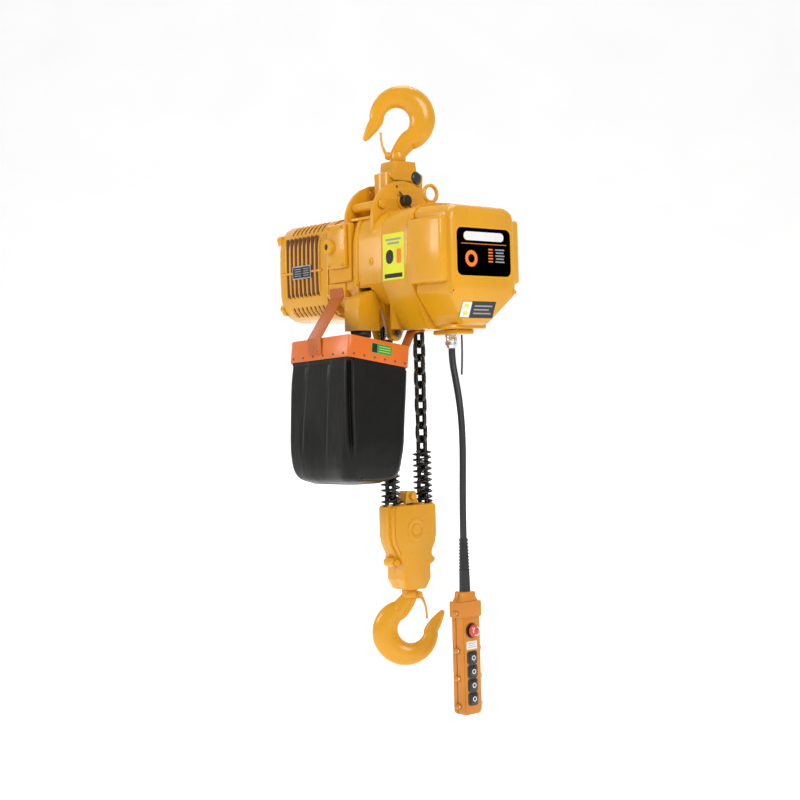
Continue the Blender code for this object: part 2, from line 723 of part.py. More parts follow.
def make_sprocket_case(pivot):
    """The middle casing, with the front ear, the chain's ports and the dead-end lobes."""
    low, high = SPROCKET_CASE_REAR, SPROCKET_CASE_FRONT - GAP
    wall_front = -WHEEL_HALF_WIDTH - 0.0035
    outline = casing_outline(SPROCKET_CASE_BOTTOM, 0.075)
    case = plate(outline, low, high)
    flange = plate(casing_outline(SPROCKET_CASE_BOTTOM - 0.003, 0.079, -0.0025), low, low + 0.011)
    front_ear = ear(FRONT_EAR_X)
    inner_outline = casing_outline(SPROCKET_CASE_BOTTOM, 0.075, CASE_WALL)
    chain_room = plate(inner_outline, wall_front, FRONT_EAR_X)
    gear_room = plate(inner_outline, FRONT_EAR_X + EAR_THICKNESS, high + 0.01)
    well_low, well_high = low - 0.01, FRONT_EAR_X
    well = box((well_low, PIN_Y - 0.075, CASE_WELL), (well_high, PIN_Y + 0.075, 0))
    well_skin = box((low, PIN_Y - 0.078, CASE_WELL - CASE_WALL),
                    (FRONT_EAR_X + 0.004, PIN_Y + 0.078, CASE_WELL))
    rear_lobe = plate(lobe_outline(), low, wall_front)
    front_lobe = plate(lobe_outline(), 0.0195, FRONT_EAR_X + EAR_THICKNESS)
    half = CHAIN_WIDTH / 2 + CHAIN_CLEARANCE + 0.001
    bottom = SPROCKET_CASE_BOTTOM
    live_port = centred_box((0, CHAIN_RADIUS, bottom), (2 * half, 2 * half + 0.004, 0.04))
    dead_port = centred_box((0, -CHAIN_RADIUS, bottom), (2 * half, 2 * half + 0.004, 0.04))
    slack_port = box((-half, -0.125, -0.470), (half, -0.062, -0.395))
    bearing_hole = along_x(0, AXIS_Z, low - 0.01, FRONT_EAR_X + 0.02, BEARING_OUTER + GAP)
    shaft_hole = along_x(0, AXIS_Z - GEAR_DISTANCE, FRONT_EAR_X - 0.001,
                         FRONT_EAR_X + 0.012, 0.008 + RUNNING_GAP, 16)
    pin_hole = along_x(-CHAIN_RADIUS, DEAD_PIN_Z, low - 0.01, 0.05, DEAD_PIN_RADIUS + GAP, 16)
    union(case, flange, front_ear, rear_lobe, front_lobe)
    subtract(case, chain_room, gear_room)
    union(case, well_skin)
    subtract(case, well, live_port, dead_port, slack_port, bearing_hole, shaft_hole, pin_hole)
    subtract(case, *ear_holes(FRONT_EAR_X))
    add_node(case, "sprocket_case", "yellow_paint", pivot)


def make_gear_case(pivot):
    low, high = SPROCKET_CASE_FRONT, COVER_REAR - GAP
    outline = casing_outline(GEAR_CASE_BOTTOM, GEAR_CASE_BOTTOM_HALF)
    case = plate(outline, low, high)
    inner = plate(
        casing_outline(GEAR_CASE_BOTTOM, GEAR_CASE_BOTTOM_HALF, CASE_WALL),
        low - 0.01, high - CASE_WALL)
    shaft_hole = along_x(0, AXIS_Z - GEAR_DISTANCE, high - 0.01, high + 0.01,
                         0.008 + RUNNING_GAP, 16)
    front_boss = along_x(0, AXIS_Z, high - 0.016, high - 0.003, 0.016)
    front_bore = along_x(0, AXIS_Z, high - 0.017, high - 0.004, ROTOR_SHAFT_RADIUS + RUNNING_GAP, 16)
    rear_floor = box((low, -GEAR_CASE_BOTTOM_HALF - 0.030, GEAR_CASE_BOTTOM + 0.003),
                     (low + CASE_WALL, GEAR_CASE_BOTTOM_HALF + 0.030, SPROCKET_CASE_BOTTOM - 0.001))
    eye_base = cylinder((0.105, 0, CASE_TOP - 0.010), (0.105, 0, CASE_TOP + 0.004), 0.016)
    eye_hole = cylinder((0.105, 0, CASE_TOP - 0.012), (0.105, 0, CASE_TOP + 0.02), 0.0065, 12)
    subtract(case, inner)
    union(case, front_boss, rear_floor, eye_base)
    subtract(case, shaft_hole, front_bore, eye_hole)
    add_node(case, "gear_case", "yellow_paint", pivot)


def make_eye_bolt(pivot):
    base = CASE_TOP + 0.004 + GAP
    wire, radius = 0.0040, 0.0180
    centre_z = base + 0.004 + radius + wire
    run = [(0.105, radius * math.cos(a), centre_z + radius * math.sin(a))
           for a in (2 * math.pi * step / 16 for step in range(16))]
    eye = swept([run], wire, cyclic=True, resolution=1)
    collar = cylinder((0.105, 0, base), (0.105, 0, base + 0.007), 0.0095, 16)
    shank = cylinder((0.105, 0, base - 0.010), (0.105, 0, base + 0.002), 0.0060, 12)
    union(eye, collar, shank)
    add_node(eye, "eye_bolt", "yellow_paint", pivot)


def make_motor_shell(pivot):
    """A finned tube with an inner wall for the rear bearing."""
    low, high = MOTOR_REAR, FRAME_REAR - GAP
    shell = plate(motor_outline(), low, high)
    wall_low = MOTOR_REAR + 0.026
    stator_room = plate(motor_outline(CASE_WALL + 0.004), wall_low + 0.006, high + 0.01)
    fan_room = plate(motor_outline(CASE_WALL + 0.004), low - 0.01, wall_low)
    shaft_hole = along_x(0, AXIS_Z, low - 0.01, high, BEARING_OUTER + GAP)
    subtract(shell, stator_room, fan_room, shaft_hole)
    slot_pitch, slot_width, slot_depth = 0.0157, 0.0065, 0.0065
    for side in (-1, 1):
        for index in range(8):
            x = MOTOR_REAR + 0.030 + slot_pitch * index
            y_low, y_high = sorted((
                side * (CASE_HALF_WIDTH - slot_depth), side * (CASE_HALF_WIDTH + 0.01)))
            subtract(shell, box((x, y_low, -0.400), (x + slot_width, y_high, -0.264)))
    add_node(shell, "motor_shell", "yellow_paint", pivot)


def make_motor_end_cover(pivot):
    """A domed cover over the fan, with air slots and four screw lugs."""
    high = MOTOR_REAR - GAP
    low = high - END_COVER_LENGTH
    middle = (CASE_TOP + MOTOR_BOTTOM) / 2
    sections = []
    for x, inset in ((high, 0.001), (high - 0.006, 0.003), (low + 0.003, 0.012), (low, 0.028)):
        sections.append([(x, y, z) for y, z in motor_outline(inset)])
    cover = loft(sections)
    room = plate(motor_outline(0.016), low + 0.004, high + 0.01)
    lugs = []
    for y, z in ((-0.098, -0.262), (0.098, -0.262), (-0.094, -0.420), (0.094, -0.420)):
        lugs.append(along_x(y, z, low + 0.003, high, 0.0085, 10))
    union(cover, *lugs)
    subtract(cover, room)
    for index in range(-2, 3):
        z = middle + 0.022 * index
        half = math.sqrt(0.066 ** 2 - (0.022 * index) ** 2)
        subtract(cover, box((low - 0.01, -half, z - 0.0040), (low + 0.01, half, z + 0.0040)))
    add_node(cover, "motor_end_cover", "yellow_paint", pivot)


def make_junction_cover(pivot):
    """The cover of the power inlet, with a threaded boss and no cable fitted."""
    x_low, x_high = FRAME_REAR + 0.026, FRAME_REAR + 0.088
    y = -CASE_HALF_WIDTH - 0.004 - GAP
    cover = round_edges(box((x_low, y - 0.010, -0.3480), (x_high, y, -0.2530)), 0.003)
    boss_x, boss_z = x_low + 0.012, -0.300
    boss = turned(
        [(0, 0.014), (0.014, 0.014), (0.0165, 0.011), (0.0165, -0.004), (0, -0.004)],
        (boss_x, y - 0.008, boss_z), (0, -1, 0), 20, closed=False)
    hole = cylinder((boss_x, y + 0.01, boss_z), (boss_x, y - 0.04, boss_z), 0.0070, 16)
    union(cover, boss)
    subtract(cover, hole)
    add_node(cover, "junction_cover", "yellow_paint", pivot)


def cover_points(inset=0.0):
    """Corners of the control cover: a box that narrows at the front and the foot."""
    rear, front = COVER_REAR + COVER_FLANGE - 0.002, COVER_FRONT - inset
    half, top, foot = 0.096 - inset, CASE_TOP - 0.009 - inset, GEAR_CASE_BOTTOM + 0.003 + inset
    points = []
    for side in (-1, 1):
        points += [
            (rear, side * (half - 0.014), top), (rear, side * half, top - 0.014),
            (rear, side * half, -0.418), (rear, side * 0.046, foot),
            (front - 0.010, side * (half - 0.024), top - 0.004),
            (front - 0.008, side * (half - 0.004), top - 0.020),
            (front - 0.006, side * (half - 0.004), -0.424), (front - 0.030, side * 0.030, foot),
            (front, side * (half - 0.026), top - 0.016), (front, side * (half - 0.012), top - 0.030),
            (front, side * (half - 0.012), -0.412),
        ]
    return points


def make_control_cover(pivot):
    cover = round_edges(hull(cover_points()), 0.005, 1, 15)
    flange = plate(casing_outline(GEAR_CASE_BOTTOM + 0.002, GEAR_CASE_BOTTOM_HALF, -0.0035),
                   COVER_REAR, COVER_REAR + COVER_FLANGE)
    bulges, rooms = [], []
    for side in (-1, 1):
        y_low, y_high = sorted((side * 0.085, side * 0.1115))
        bulge = box((COVER_REAR + 0.004, y_low, -0.401), (COVER_FRONT - 0.009, y_high, -0.266))
        bulges.append(round_edges(bulge, 0.008, 2))
        y_low, y_high = sorted((side * 0.080, side * 0.1065))
        rooms.append(box((COVER_REAR - 0.01, y_low, -0.394), (COVER_FRONT - 0.017, y_high, -0.273)))
    foot = box((COVER_REAR + 0.012, -0.042, GEAR_CASE_BOTTOM - 0.003),
               (COVER_FRONT - 0.045, 0.042, GEAR_CASE_BOTTOM + 0.006))
    inner = hull([(x if x > COVER_REAR + 0.02 else COVER_REAR - 0.01, y, z)
                  for x, y, z in cover_points(0.005)])
    union(cover, flange, *bulges, foot)
    subtract(cover, inner, *rooms)
    gland_hole = cylinder((GLAND_X + 0.02, 0, -0.51), (GLAND_X + 0.02, 0, -0.47), 0.006, 12)
    subtract(cover, gland_hole)
    add_node(cover, "control_cover", "yellow_paint", pivot)


def make_control_panel(pivot):
    """Back plate, transformer and two contactors inside the control cover."""
    x = COVER_REAR + 0.004
    panel = box((x, -0.075, -0.420), (x + 0.003, 0.075, -0.262))
    contactors = [box((x + 0.001, y - 0.022, -0.345), (x + 0.055, y + 0.022, -0.275))
                  for y in (-0.045, 0.008)]
    transformer = box((x + 0.001, -0.040, -0.412), (x + 0.050, 0.030, -0.358))
    terminals = box((x + 0.001, 0.042, -0.410), (x + 0.025, 0.066, -0.280))
    union(panel, *contactors, transformer, terminals)
    add_node(panel, "control_panel", "grey_plastic", pivot)


# ---------------------------------------------------------------- drive


def gear_outline(teeth, phase=0.0):
    """Trapezoid teeth, thinner than half a pitch, so that a pair turns freely."""
    pitch_radius = MODULE * teeth / 2
    tip, root = pitch_radius + 0.70 * MODULE, pitch_radius - 1.05 * MODULE
    step = 2 * math.pi / teeth
    points = []
    for tooth in range(teeth):
        centre = phase + tooth * step
        for radius, half in ((root, 0.33), (tip, 0.11), (tip, -0.11), (root, -0.33)):
            angle = centre - half * step
            points.append((radius * math.cos(angle), radius * math.sin(angle)))
    return points


def gear(teeth, z, low, phase, width=GEAR_WIDTH):
    outline = [(u, z + v) for u, v in gear_outline(teeth, phase)]
    return plate(outline, low, low + width)


def pocket_wheel(z, flat_angle):
    """A chain wheel whose teeth stand between the flat links."""
    half = WHEEL_HALF_WIDTH
    shoulder = CHAIN_RADIUS - CHAIN_WIRE / 2 - CHAIN_CLEARANCE
    groove = CHAIN_RADIUS - CHAIN_WIDTH / 2 - CHAIN_CLEARANCE
    groove_half = CHAIN_WIRE / 2 + CHAIN_CLEARANCE
    profile = [
        (0, half), (shoulder, half), (shoulder, groove_half), (groove, groove_half - 0.001),
        (groove, -groove_half + 0.001), (shoulder, -groove_half), (shoulder, -half), (0, -half),
    ]
    wheel = turned(profile, (0, 0, z), (1, 0, 0), 20, closed=False)
    teeth = []
    for pocket in range(WHEEL_POCKETS):
        angle = flat_angle + (2 * pocket + 1) * LINK_ANGLE
        turn = Matrix.Translation((0, 0, z)) @ Matrix.Rotation(angle, 4, "X")
        for side in (-1, 1):
            x_low, x_high = sorted((side * groove_half, side * (half - 0.0004)))
            low, high = (x_low, shoulder - 0.008, -0.0050), (x_high, CHAIN_RADIUS + 0.004, 0.0050)
            teeth.append(box(low, high, turn))
    return union(wheel, *teeth)


def make_load_sprocket(pivot):
    """The load wheel and its gear on one hollow shaft, through which the motor drives."""
    wheel = pocket_wheel(AXIS_Z, LINK_ANGLE)
    hub_end = SPROCKET_CASE_FRONT + 0.028
    hub = along_x(0, AXIS_Z, SPROCKET_CASE_REAR + 0.0005, hub_end, HUB_RADIUS, 24)
    wheel_gear = gear(WHEEL_TEETH, AXIS_Z, SPROCKET_CASE_FRONT + 0.008, 0.0)
    bore = along_x(0, AXIS_Z, SPROCKET_CASE_REAR - 0.01, hub_end + 0.01,
                   ROTOR_SHAFT_RADIUS + 0.0015, 20)
    union(wheel, hub, wheel_gear)
    subtract(wheel, bore)
    add_node(wheel, "load_sprocket", "dark_steel", pivot)


def make_intermediate_gear(pivot):
    """The layshaft: a wide gear for the motor's pinion, and a pinion for the load gear."""
    z = AXIS_Z - GEAR_DISTANCE
    first = SPROCKET_CASE_FRONT + 0.007
    second = SPROCKET_CASE_FRONT + 0.036
    shaft = along_x(0, z, FRONT_EAR_X + 0.001, COVER_REAR - 0.002, 0.0080, 16)
    small = gear(PINION_TEETH, z, first, math.pi / 2, GEAR_WIDTH + 0.002)
    big = gear(WHEEL_TEETH, z, second + 0.001, math.pi / 2, GEAR_WIDTH - 0.002)
    union(shaft, small, big)
    add_node(shaft, "intermediate_gear", "dark_steel", pivot)


def make_rotor(pivot):
    """Rotor core, brake disc and pinion on the motor shaft."""
    second = SPROCKET_CASE_FRONT + 0.036
    shaft = along_x(0, AXIS_Z, MOTOR_REAR + 0.006, COVER_REAR - 0.006, ROTOR_SHAFT_RADIUS, 16)
    core = along_x(0, AXIS_Z, MOTOR_REAR + 0.048, MOTOR_REAR + 0.116, 0.056, 24)
    disc = along_x(0, AXIS_Z, FRAME_REAR - 0.014, FRAME_REAR - 0.009, 0.068, 24)
    pinion = gear(PINION_TEETH, AXIS_Z, second, math.pi / PINION_TEETH - math.pi / 2)
    union(shaft, core, disc, pinion)
    add_node(shaft, "motor_rotor", "bright_steel", pivot)
    hub = ring((MOTOR_REAR + 0.008, 0, AXIS_Z), (1, 0, 0), ROTOR_SHAFT_RADIUS + GAP, 0.020, 0.014, 16)
    blades = []
    for index in range(7):
        turn = Matrix.Translation((0, 0, AXIS_Z)) @ Matrix.Rotation(2 * math.pi * index / 7, 4, "X")
        blades.append(box((MOTOR_REAR + 0.009, 0.017, -0.0012),
                          (MOTOR_REAR + 0.021, 0.078, 0.0012), turn))
    union(hub, *blades)
    add_node(hub, "cooling_fan", "black_plastic", pivot)


def make_motor_inside(pivot):
    x_axis = (1, 0, 0)
    stator = ring((MOTOR_REAR + 0.044, 0, AXIS_Z), x_axis, 0.058, 0.090, 0.076, 24)
    add_node(stator, "stator", "copper", pivot)
    coil = ring((FRAME_REAR - 0.036, 0, AXIS_Z), x_axis, 0.024, 0.068, 0.020, 24)
    add_node(coil, "brake_coil", "dark_steel", pivot)
    bearing = ring((FRONT_EAR_X, 0, AXIS_Z), x_axis, HUB_RADIUS + RUNNING_GAP, BEARING_OUTER,
                   EAR_THICKNESS, 20)
    add_node(bearing, "sprocket_bearing", "bright_steel", pivot)


# ---------------------------------------------------------------- load chain


def link_run(centre, along, across, start_extra, end_extra):
    """The wire's centre line round one link, whose two ends can reach a little further."""
    half_length = CHAIN_PITCH / 2 + CHAIN_WIRE / 2 - CROWN_OVERLAP / 2
    start, end = half_length + start_extra, -half_length - end_extra
    half_width = (CHAIN_WIDTH - CHAIN_WIRE) / 2
    corner = half_width * 0.55
    side = [(start, half_width - corner), (start - corner, half_width),
            (end + corner, half_width), (end, half_width - corner)]
    shape = side + [(u, -v) for u, v in reversed(side)]
    return [centre + along * u + across * v for u, v in shape]


def link_frame(index):
    """Place of a link by its number, its direction towards lower numbers, and the direction
    across it: 0 is level with the sprocket's axis on
    the live side, negative numbers run back over the sprocket to the slack end, and
    positive ones down the live fall, round the idler and up to the dead end."""
    up, x_axis = Vector((0, 0, 1)), Vector((1, 0, 0))
    half_turn = WHEEL_POCKETS
    if index < -half_turn:
        route = [Vector((0, y, z)) for y, z in SLACK_ROUTE]
        route.insert(0, Vector((0, -CHAIN_RADIUS, AXIS_Z)))
        place = -index - half_turn
        centre = route[place]
        after = route[min(place + 1, len(route) - 1)]
        along = (after - route[place - 1]).normalized()
        out = along.cross(x_axis)
    elif index < 0:
        angle = -index * LINK_ANGLE
        out = Vector((0, math.cos(angle), math.sin(angle)))
        centre = Vector((0, 0, AXIS_Z)) + CHAIN_RADIUS * out
        along = x_axis.cross(out)
    elif index <= FALL_PITCHES:
        out = Vector((0, 1, 0))
        centre = Vector((0, CHAIN_RADIUS, AXIS_Z - index * CHAIN_PITCH))
        along = up
    elif index < FALL_PITCHES + half_turn:
        angle = -(index - FALL_PITCHES) * LINK_ANGLE
        out = Vector((0, math.cos(angle), math.sin(angle)))
        centre = Vector((0, 0, IDLER_Z)) + CHAIN_RADIUS * out
        along = x_axis.cross(out)
    else:
        out = Vector((0, -1, 0))
        rise = (index - FALL_PITCHES - half_turn) * CHAIN_PITCH
        centre = Vector((0, -CHAIN_RADIUS, IDLER_Z + rise))
        along = -up
    across = out if index % 2 == 0 else x_axis
    return centre, along, across


def make_chain(name, first, last, pivot):
    """One connected run of links, whose free ends clear the next run's."""
    runs = [[], []]
    for index in range(first, last + 1):
        start_extra = RUN_END_EXTRA if index == first and first > 0 else 0.0
        end_extra = RUN_END_EXTRA if index == last and last < DEAD_END_LINK else 0.0
        runs[index % 2].append(link_run(*link_frame(index), start_extra, end_extra))
    even, odd = (swept(run, CHAIN_WIRE / 2, cyclic=True, resolution=0) for run in runs)
    add_node(union(even, odd), name, "black_chain", pivot)


def make_spring(name, y, pivot):
    """A buffer spring round a fall of chain, with closed ends."""
    turns, steps = SPRING_TURNS, 8
    bottom = BLOCK_TOP + SPRING_WIRE / 2 + GAP
    length = SPRING_LENGTH - SPRING_WIRE
    run = []
    for step in range(turns * steps + 1):
        share = step / (turns * steps)
        angle = 2 * math.pi * turns * share
        run.append((SPRING_RADIUS * math.cos(angle), y + SPRING_RADIUS * math.sin(angle),
                    bottom + length * share))
    add_node(swept([run], SPRING_WIRE / 2, resolution=0), name, "black_chain", pivot)


def make_chain_guide(pivot):
    """The casting that leads the slack chain out over the bag, and its rubber lip."""
    half_x, half_y = 0.0240, 0.0245
    y = SLACK_ROUTE[-1][0]
    top, bottom = -0.4440, -0.4880
    guide = box((-half_x, y - half_y, bottom), (half_x, y + half_y + 0.008, top))
    throat = hull([
        (x, yy, z) for x in (-half_x, half_x) for yy, z in (
            (y - half_y, top - 0.001), (y + half_y + 0.008, top - 0.001), (-0.078, -0.4200),
            (-0.1030, -0.4020), (y - half_y + 0.004, -0.4200), (-0.070, -0.4400))])
    room = CHAIN_WIDTH / 2 + CHAIN_CLEARANCE
    inner = box((-room, y - room - 0.0030, bottom - 0.01), (room, y + room + 0.0110, top + 0.004))
    throat_room = hull([
        (x, yy, z) for x in (-room, room) for yy, z in (
            (y - room - 0.0020, top - 0.003), (y + room + 0.0105, top - 0.009),
            (-0.0500, -0.4520), (-0.0500, -0.4150), (-0.0950, -0.4020),
            (y - room + 0.005, -0.4240))])
    case_clear = plate(casing_outline(SPROCKET_CASE_BOTTOM - GAP, 0.075 + GAP, -GAP),
                       -0.05, 0.05)
    flange_clear = plate(casing_outline(SPROCKET_CASE_BOTTOM - 0.003 - GAP, 0.079, -0.003),
                         -0.05, SPROCKET_CASE_REAR + 0.012)
    lobe_clear = plate(lobe_outline(), -0.05, -WHEEL_HALF_WIDTH - 0.0035 + GAP)
    lobe_clear_front = plate(lobe_outline(), 0.0195 - GAP, 0.05)
    union(guide, throat)
    subtract(guide, inner, throat_room, case_clear, flange_clear, lobe_clear, lobe_clear_front)
    add_node(guide, "chain_guide", "yellow_paint", pivot)
    lip = ring((0, y, bottom - GAP - 0.014), (0, 0, 1), 0.0185, 0.0220, 0.014, 20)
    add_node(lip, "chain_exit_rubber", "black_rubber", pivot)


def make_dead_end_pin(pivot):
    rear, front = SPROCKET_CASE_REAR - 0.003, FRONT_EAR_X + EAR_THICKNESS + 0.006
    pin = along_x(-CHAIN_RADIUS, DEAD_PIN_Z, rear, front, DEAD_PIN_RADIUS, 16)
    head = along_x(-CHAIN_RADIUS, DEAD_PIN_Z, rear - 0.004, rear + 0.0027, DEAD_PIN_RADIUS + 0.003, 16)
    add_node(union(pin, head), "dead_end_pin", "bright_steel", pivot)


# ---------------------------------------------------------------- hook block


def block_outline(inset=0.0):
    foot_top = IDLER_Z - BLOCK_BOLT_DROP
    width = BLOCK_HALF_WIDTH - inset
    return mirrored([
        (width - 0.005, BLOCK_TOP - inset / 3), (width, BLOCK_TOP - 0.005 - inset / 3),
        (width, IDLER_Z - 0.012), (width - 0.004, IDLER_Z - 0.030), (width - 0.014, IDLER_Z - 0.049),
        (BLOCK_FOOT_HALF + 0.006, foot_top + 0.004), (BLOCK_FOOT_HALF, foot_top - 0.012),
        (BLOCK_FOOT_HALF, BLOCK_BOTTOM + 0.022), (BLOCK_FOOT_HALF - 0.014, BLOCK_BOTTOM),
    ])


def block_bolts():
    """Where the three bolts of the hook block pass, as y and z."""
    foot_z = IDLER_Z - BLOCK_BOLT_DROP
    return (("top", 0.0, BLOCK_TOP + 0.016), ("near", -BLOCK_BOLT_Y, foot_z),
            ("far", BLOCK_BOLT_Y, foot_z))


def make_block_half(name, side, pivot):
    """Half of the hook block: a flange at the joint and a deeper body."""
    across = 0.0

    def span(depth):
        nonlocal across
        across += 0.0007
        return sorted((-side * (0.005 + across), side * depth))

    half = plate(block_outline(), *span(BLOCK_HALF_FLANGE))
    body = plate(block_outline(BODY_INSET), *span(BLOCK_HALF_BODY - 0.004))
    face = plate(block_outline(BODY_INSET + 0.004), *span(BLOCK_HALF_BODY))
    lug_outline = mirrored([
        (0.0100, BLOCK_TOP + 0.0280), (0.0145, BLOCK_TOP + 0.0220), (0.0180, BLOCK_TOP - 0.0050)])
    lug = plate(lug_outline, *span(0.0145))
    ears = []
    for _, y, z in block_bolts()[1:]:
        ears.append(along_x(y, z, *span(BLOCK_HALF_FLANGE + 0.002), 0.0105, 14))
    foot = hull([
        (x, y, z) for x in (-side * 0.012, side * 0.0262)
        for y in (-BLOCK_FOOT_HALF - 0.0003, BLOCK_FOOT_HALF + 0.0003)
        for z in (BLOCK_BOTTOM + 0.0243, IDLER_Z - BLOCK_BOLT_DROP + 0.006)
    ] + [(x, y, BLOCK_BOTTOM - 0.0003) for x in (-side * 0.012, side * 0.020)
         for y in (-BLOCK_FOOT_HALF + 0.0143, BLOCK_FOOT_HALF - 0.0143)])
    union(half, body, face, lug, *ears, foot)
    subtract(half, box(*half_space(side)))

    upright = CHAIN_RADIUS + CHAIN_WIDTH / 2 + CHAIN_CLEARANCE
    flat = math.hypot(CHAIN_RADIUS, 2 * CHAIN_WIRE) + CHAIN_WIRE / 2 + CHAIN_CLEARANCE
    wire = CHAIN_WIRE / 2 + CHAIN_CLEARANCE
    wide = CHAIN_WIDTH / 2 + CHAIN_CLEARANCE
    subtract(half, along_x(0, IDLER_Z, -wire, wire, upright + 0.0005, 22))
    subtract(half, along_x(0, IDLER_Z, -wide - 0.002, wide + 0.002, flat + 0.0005, 22))
    subtract(half, box((-wide - 0.002, -flat, IDLER_Z), (wide + 0.002, flat, BLOCK_TOP - 0.012)))
    for y in (-CHAIN_RADIUS, CHAIN_RADIUS):
        outer = math.copysign(upright, y)
        inner = math.copysign(CHAIN_RADIUS - wide, y)
        y_low, y_high = sorted((outer, inner))
        subtract(half, box((-wire, y_low, IDLER_Z), (wire, y_high, BLOCK_TOP + 0.01)))
        subtract(half, box((-wide, y - wire, IDLER_Z), (wide, y + wire, BLOCK_TOP + 0.01)))
    subtract(half, along_x(0, IDLER_Z, -0.05, 0.05, SHEAVE_PIN_RADIUS + GAP, 20))
    for _, y, z in block_bolts():
        subtract(half, along_x(y, z, -0.05, 0.05, BOLT_RADIUS + GAP, 12))
    nut_top = LOWER_SADDLE_Z + SHANK_END + 0.004
    floor = LOWER_SADDLE_Z + SHANK_END - 0.004 - NUT_HEIGHT - BEARING_HEIGHT - 2 * GAP
    subtract(half, cylinder((0, 0, floor), (0, 0, nut_top), BEARING_RADIUS + SWIVEL_GAP, 20))
    subtract(half, cylinder((0, 0, BLOCK_BOTTOM - 0.01), (0, 0, floor + 0.002),
                            SHANK_RADIUS + SWIVEL_GAP, 16))
    add_node(half, name, "yellow_paint", pivot)


def make_hook_block(pivot):
    make_block_half("block_front", 1, pivot)
    make_block_half("block_rear", -1, pivot)
    for label, y, z in block_bolts():
        reach = 0.0145 if label == "top" else BLOCK_HALF_FLANGE + 0.002
        bolt = along_x(y, z, -reach - 0.006, reach + 0.002, BOLT_RADIUS, 12)
        head = along_x(y, z, reach + GAP, reach + 0.0075, 0.0075, 6)
        add_node(union(bolt, head), "block_bolt_" + label, "yellow_paint", pivot)
    pin = along_x(0, IDLER_Z, -BLOCK_HALF_BODY, BLOCK_HALF_BODY + 0.001, SHEAVE_PIN_RADIUS, 20)
    add_node(pin, "sheave_pin", "yellow_paint", pivot)
    make_spring("spring_live", CHAIN_RADIUS, pivot)
    make_spring("spring_dead", -CHAIN_RADIUS, pivot)


def make_idler(pivot):
    wheel = pocket_wheel(IDLER_Z, 0.0)
    bore = along_x(0, IDLER_Z, -0.03, 0.03, SHEAVE_PIN_RADIUS + RUNNING_GAP, 20)
    add_node(subtract(wheel, bore), "idler_sheave", "dark_steel", pivot)


# ---------------------------------------------------------------- chain bag


def rounded_rectangle(x_low, x_high, y_low, y_high, radius, steps=2):
    points = []
    corners = ((x_high, y_high, 0), (x_low, y_high, 90), (x_low, y_low, 180), (x_high, y_low, 270))
    for x, y, start in corners:
        centre_x = x - math.copysign(radius, x - (x_low + x_high) / 2)
        centre_y = y - math.copysign(radius, y - (y_low + y_high) / 2)
        for step in range(steps + 1):
            angle = math.radians(start + 90 * step / steps)
            points.append((centre_x + radius * math.cos(angle), centre_y + radius * math.sin(angle)))
    return points


def rim_frame():
    middle = Vector((sum(BAG_X) / 2, sum(BAG_Y) / 2, RIM_MIDDLE_Z))
    turn = Matrix.Rotation(-RIM_ROLL, 4, "X") @ Matrix.Rotation(-RIM_PITCH, 4, "Y")
    return Matrix.Translation(middle) @ turn


def make_bag_rim(pivot):
    half_x, half_y = (BAG_X[1] - BAG_X[0]) / 2, (BAG_Y[1] - BAG_Y[0]) / 2
    half_z = RIM_HEIGHT / 2
    rim = plate(rounded_rectangle(-half_x, half_x, -half_y, half_y, 0.010), -half_z, half_z,
                rim_frame())
    sheet = RIM_SHEET
    inner = plate(
        rounded_rectangle(-half_x + sheet, half_x - sheet, -half_y + sheet, half_y - sheet,
                          0.010 - sheet), -half_z - 0.01, half_z + 0.01, rim_frame())
    add_node(subtract(rim, inner), "bag_rim", "orange_paint", pivot)


def make_bag(pivot):
    """A sack that hangs inside the rim, open at the top, with a sagging foot."""
    frame = rim_frame()
    inset = RIM_SHEET + GAP
    half_x, half_y = (BAG_X[1] - BAG_X[0]) / 2 - inset, (BAG_Y[1] - BAG_Y[0]) / 2 - inset
    sections = []
    for z in (RIM_HEIGHT / 2 - 0.006, -RIM_HEIGHT / 2 - 0.002):
        outline = rounded_rectangle(-half_x, half_x, -half_y, half_y, 0.010)
        sections.append([frame @ Vector((x, y, z)) for x, y in outline])
    x_low, x_high = BAG_X[0] + inset, BAG_X[1] - inset
    y_low, y_high = BAG_Y[0] + inset, BAG_Y[1] - inset
    levels = ((-0.640, 0.001, 0.004, 0.014), (-0.720, 0.000, 0.010, 0.018),
              (-0.770, 0.006, 0.018, 0.026), (-0.795, 0.018, 0.032, 0.036),
              (BAG_BOTTOM, 0.044, 0.060, 0.036))
    for z, grow, lean, radius in levels:
        outline = rounded_rectangle(
            x_low + grow, x_high - grow, y_low + grow, y_high - lean, radius)
        sections.append([Vector((x, y, z)) for x, y in outline])
    bag = loft(sections, close_start=False)
    solid = bag.modifiers.new("Solidify", "SOLIDIFY")
    solid.thickness = BAG_SHEET
    solid.offset = -1
    solid.use_rim = True
    add_node(bag, "chain_bag", "black_fabric", pivot)


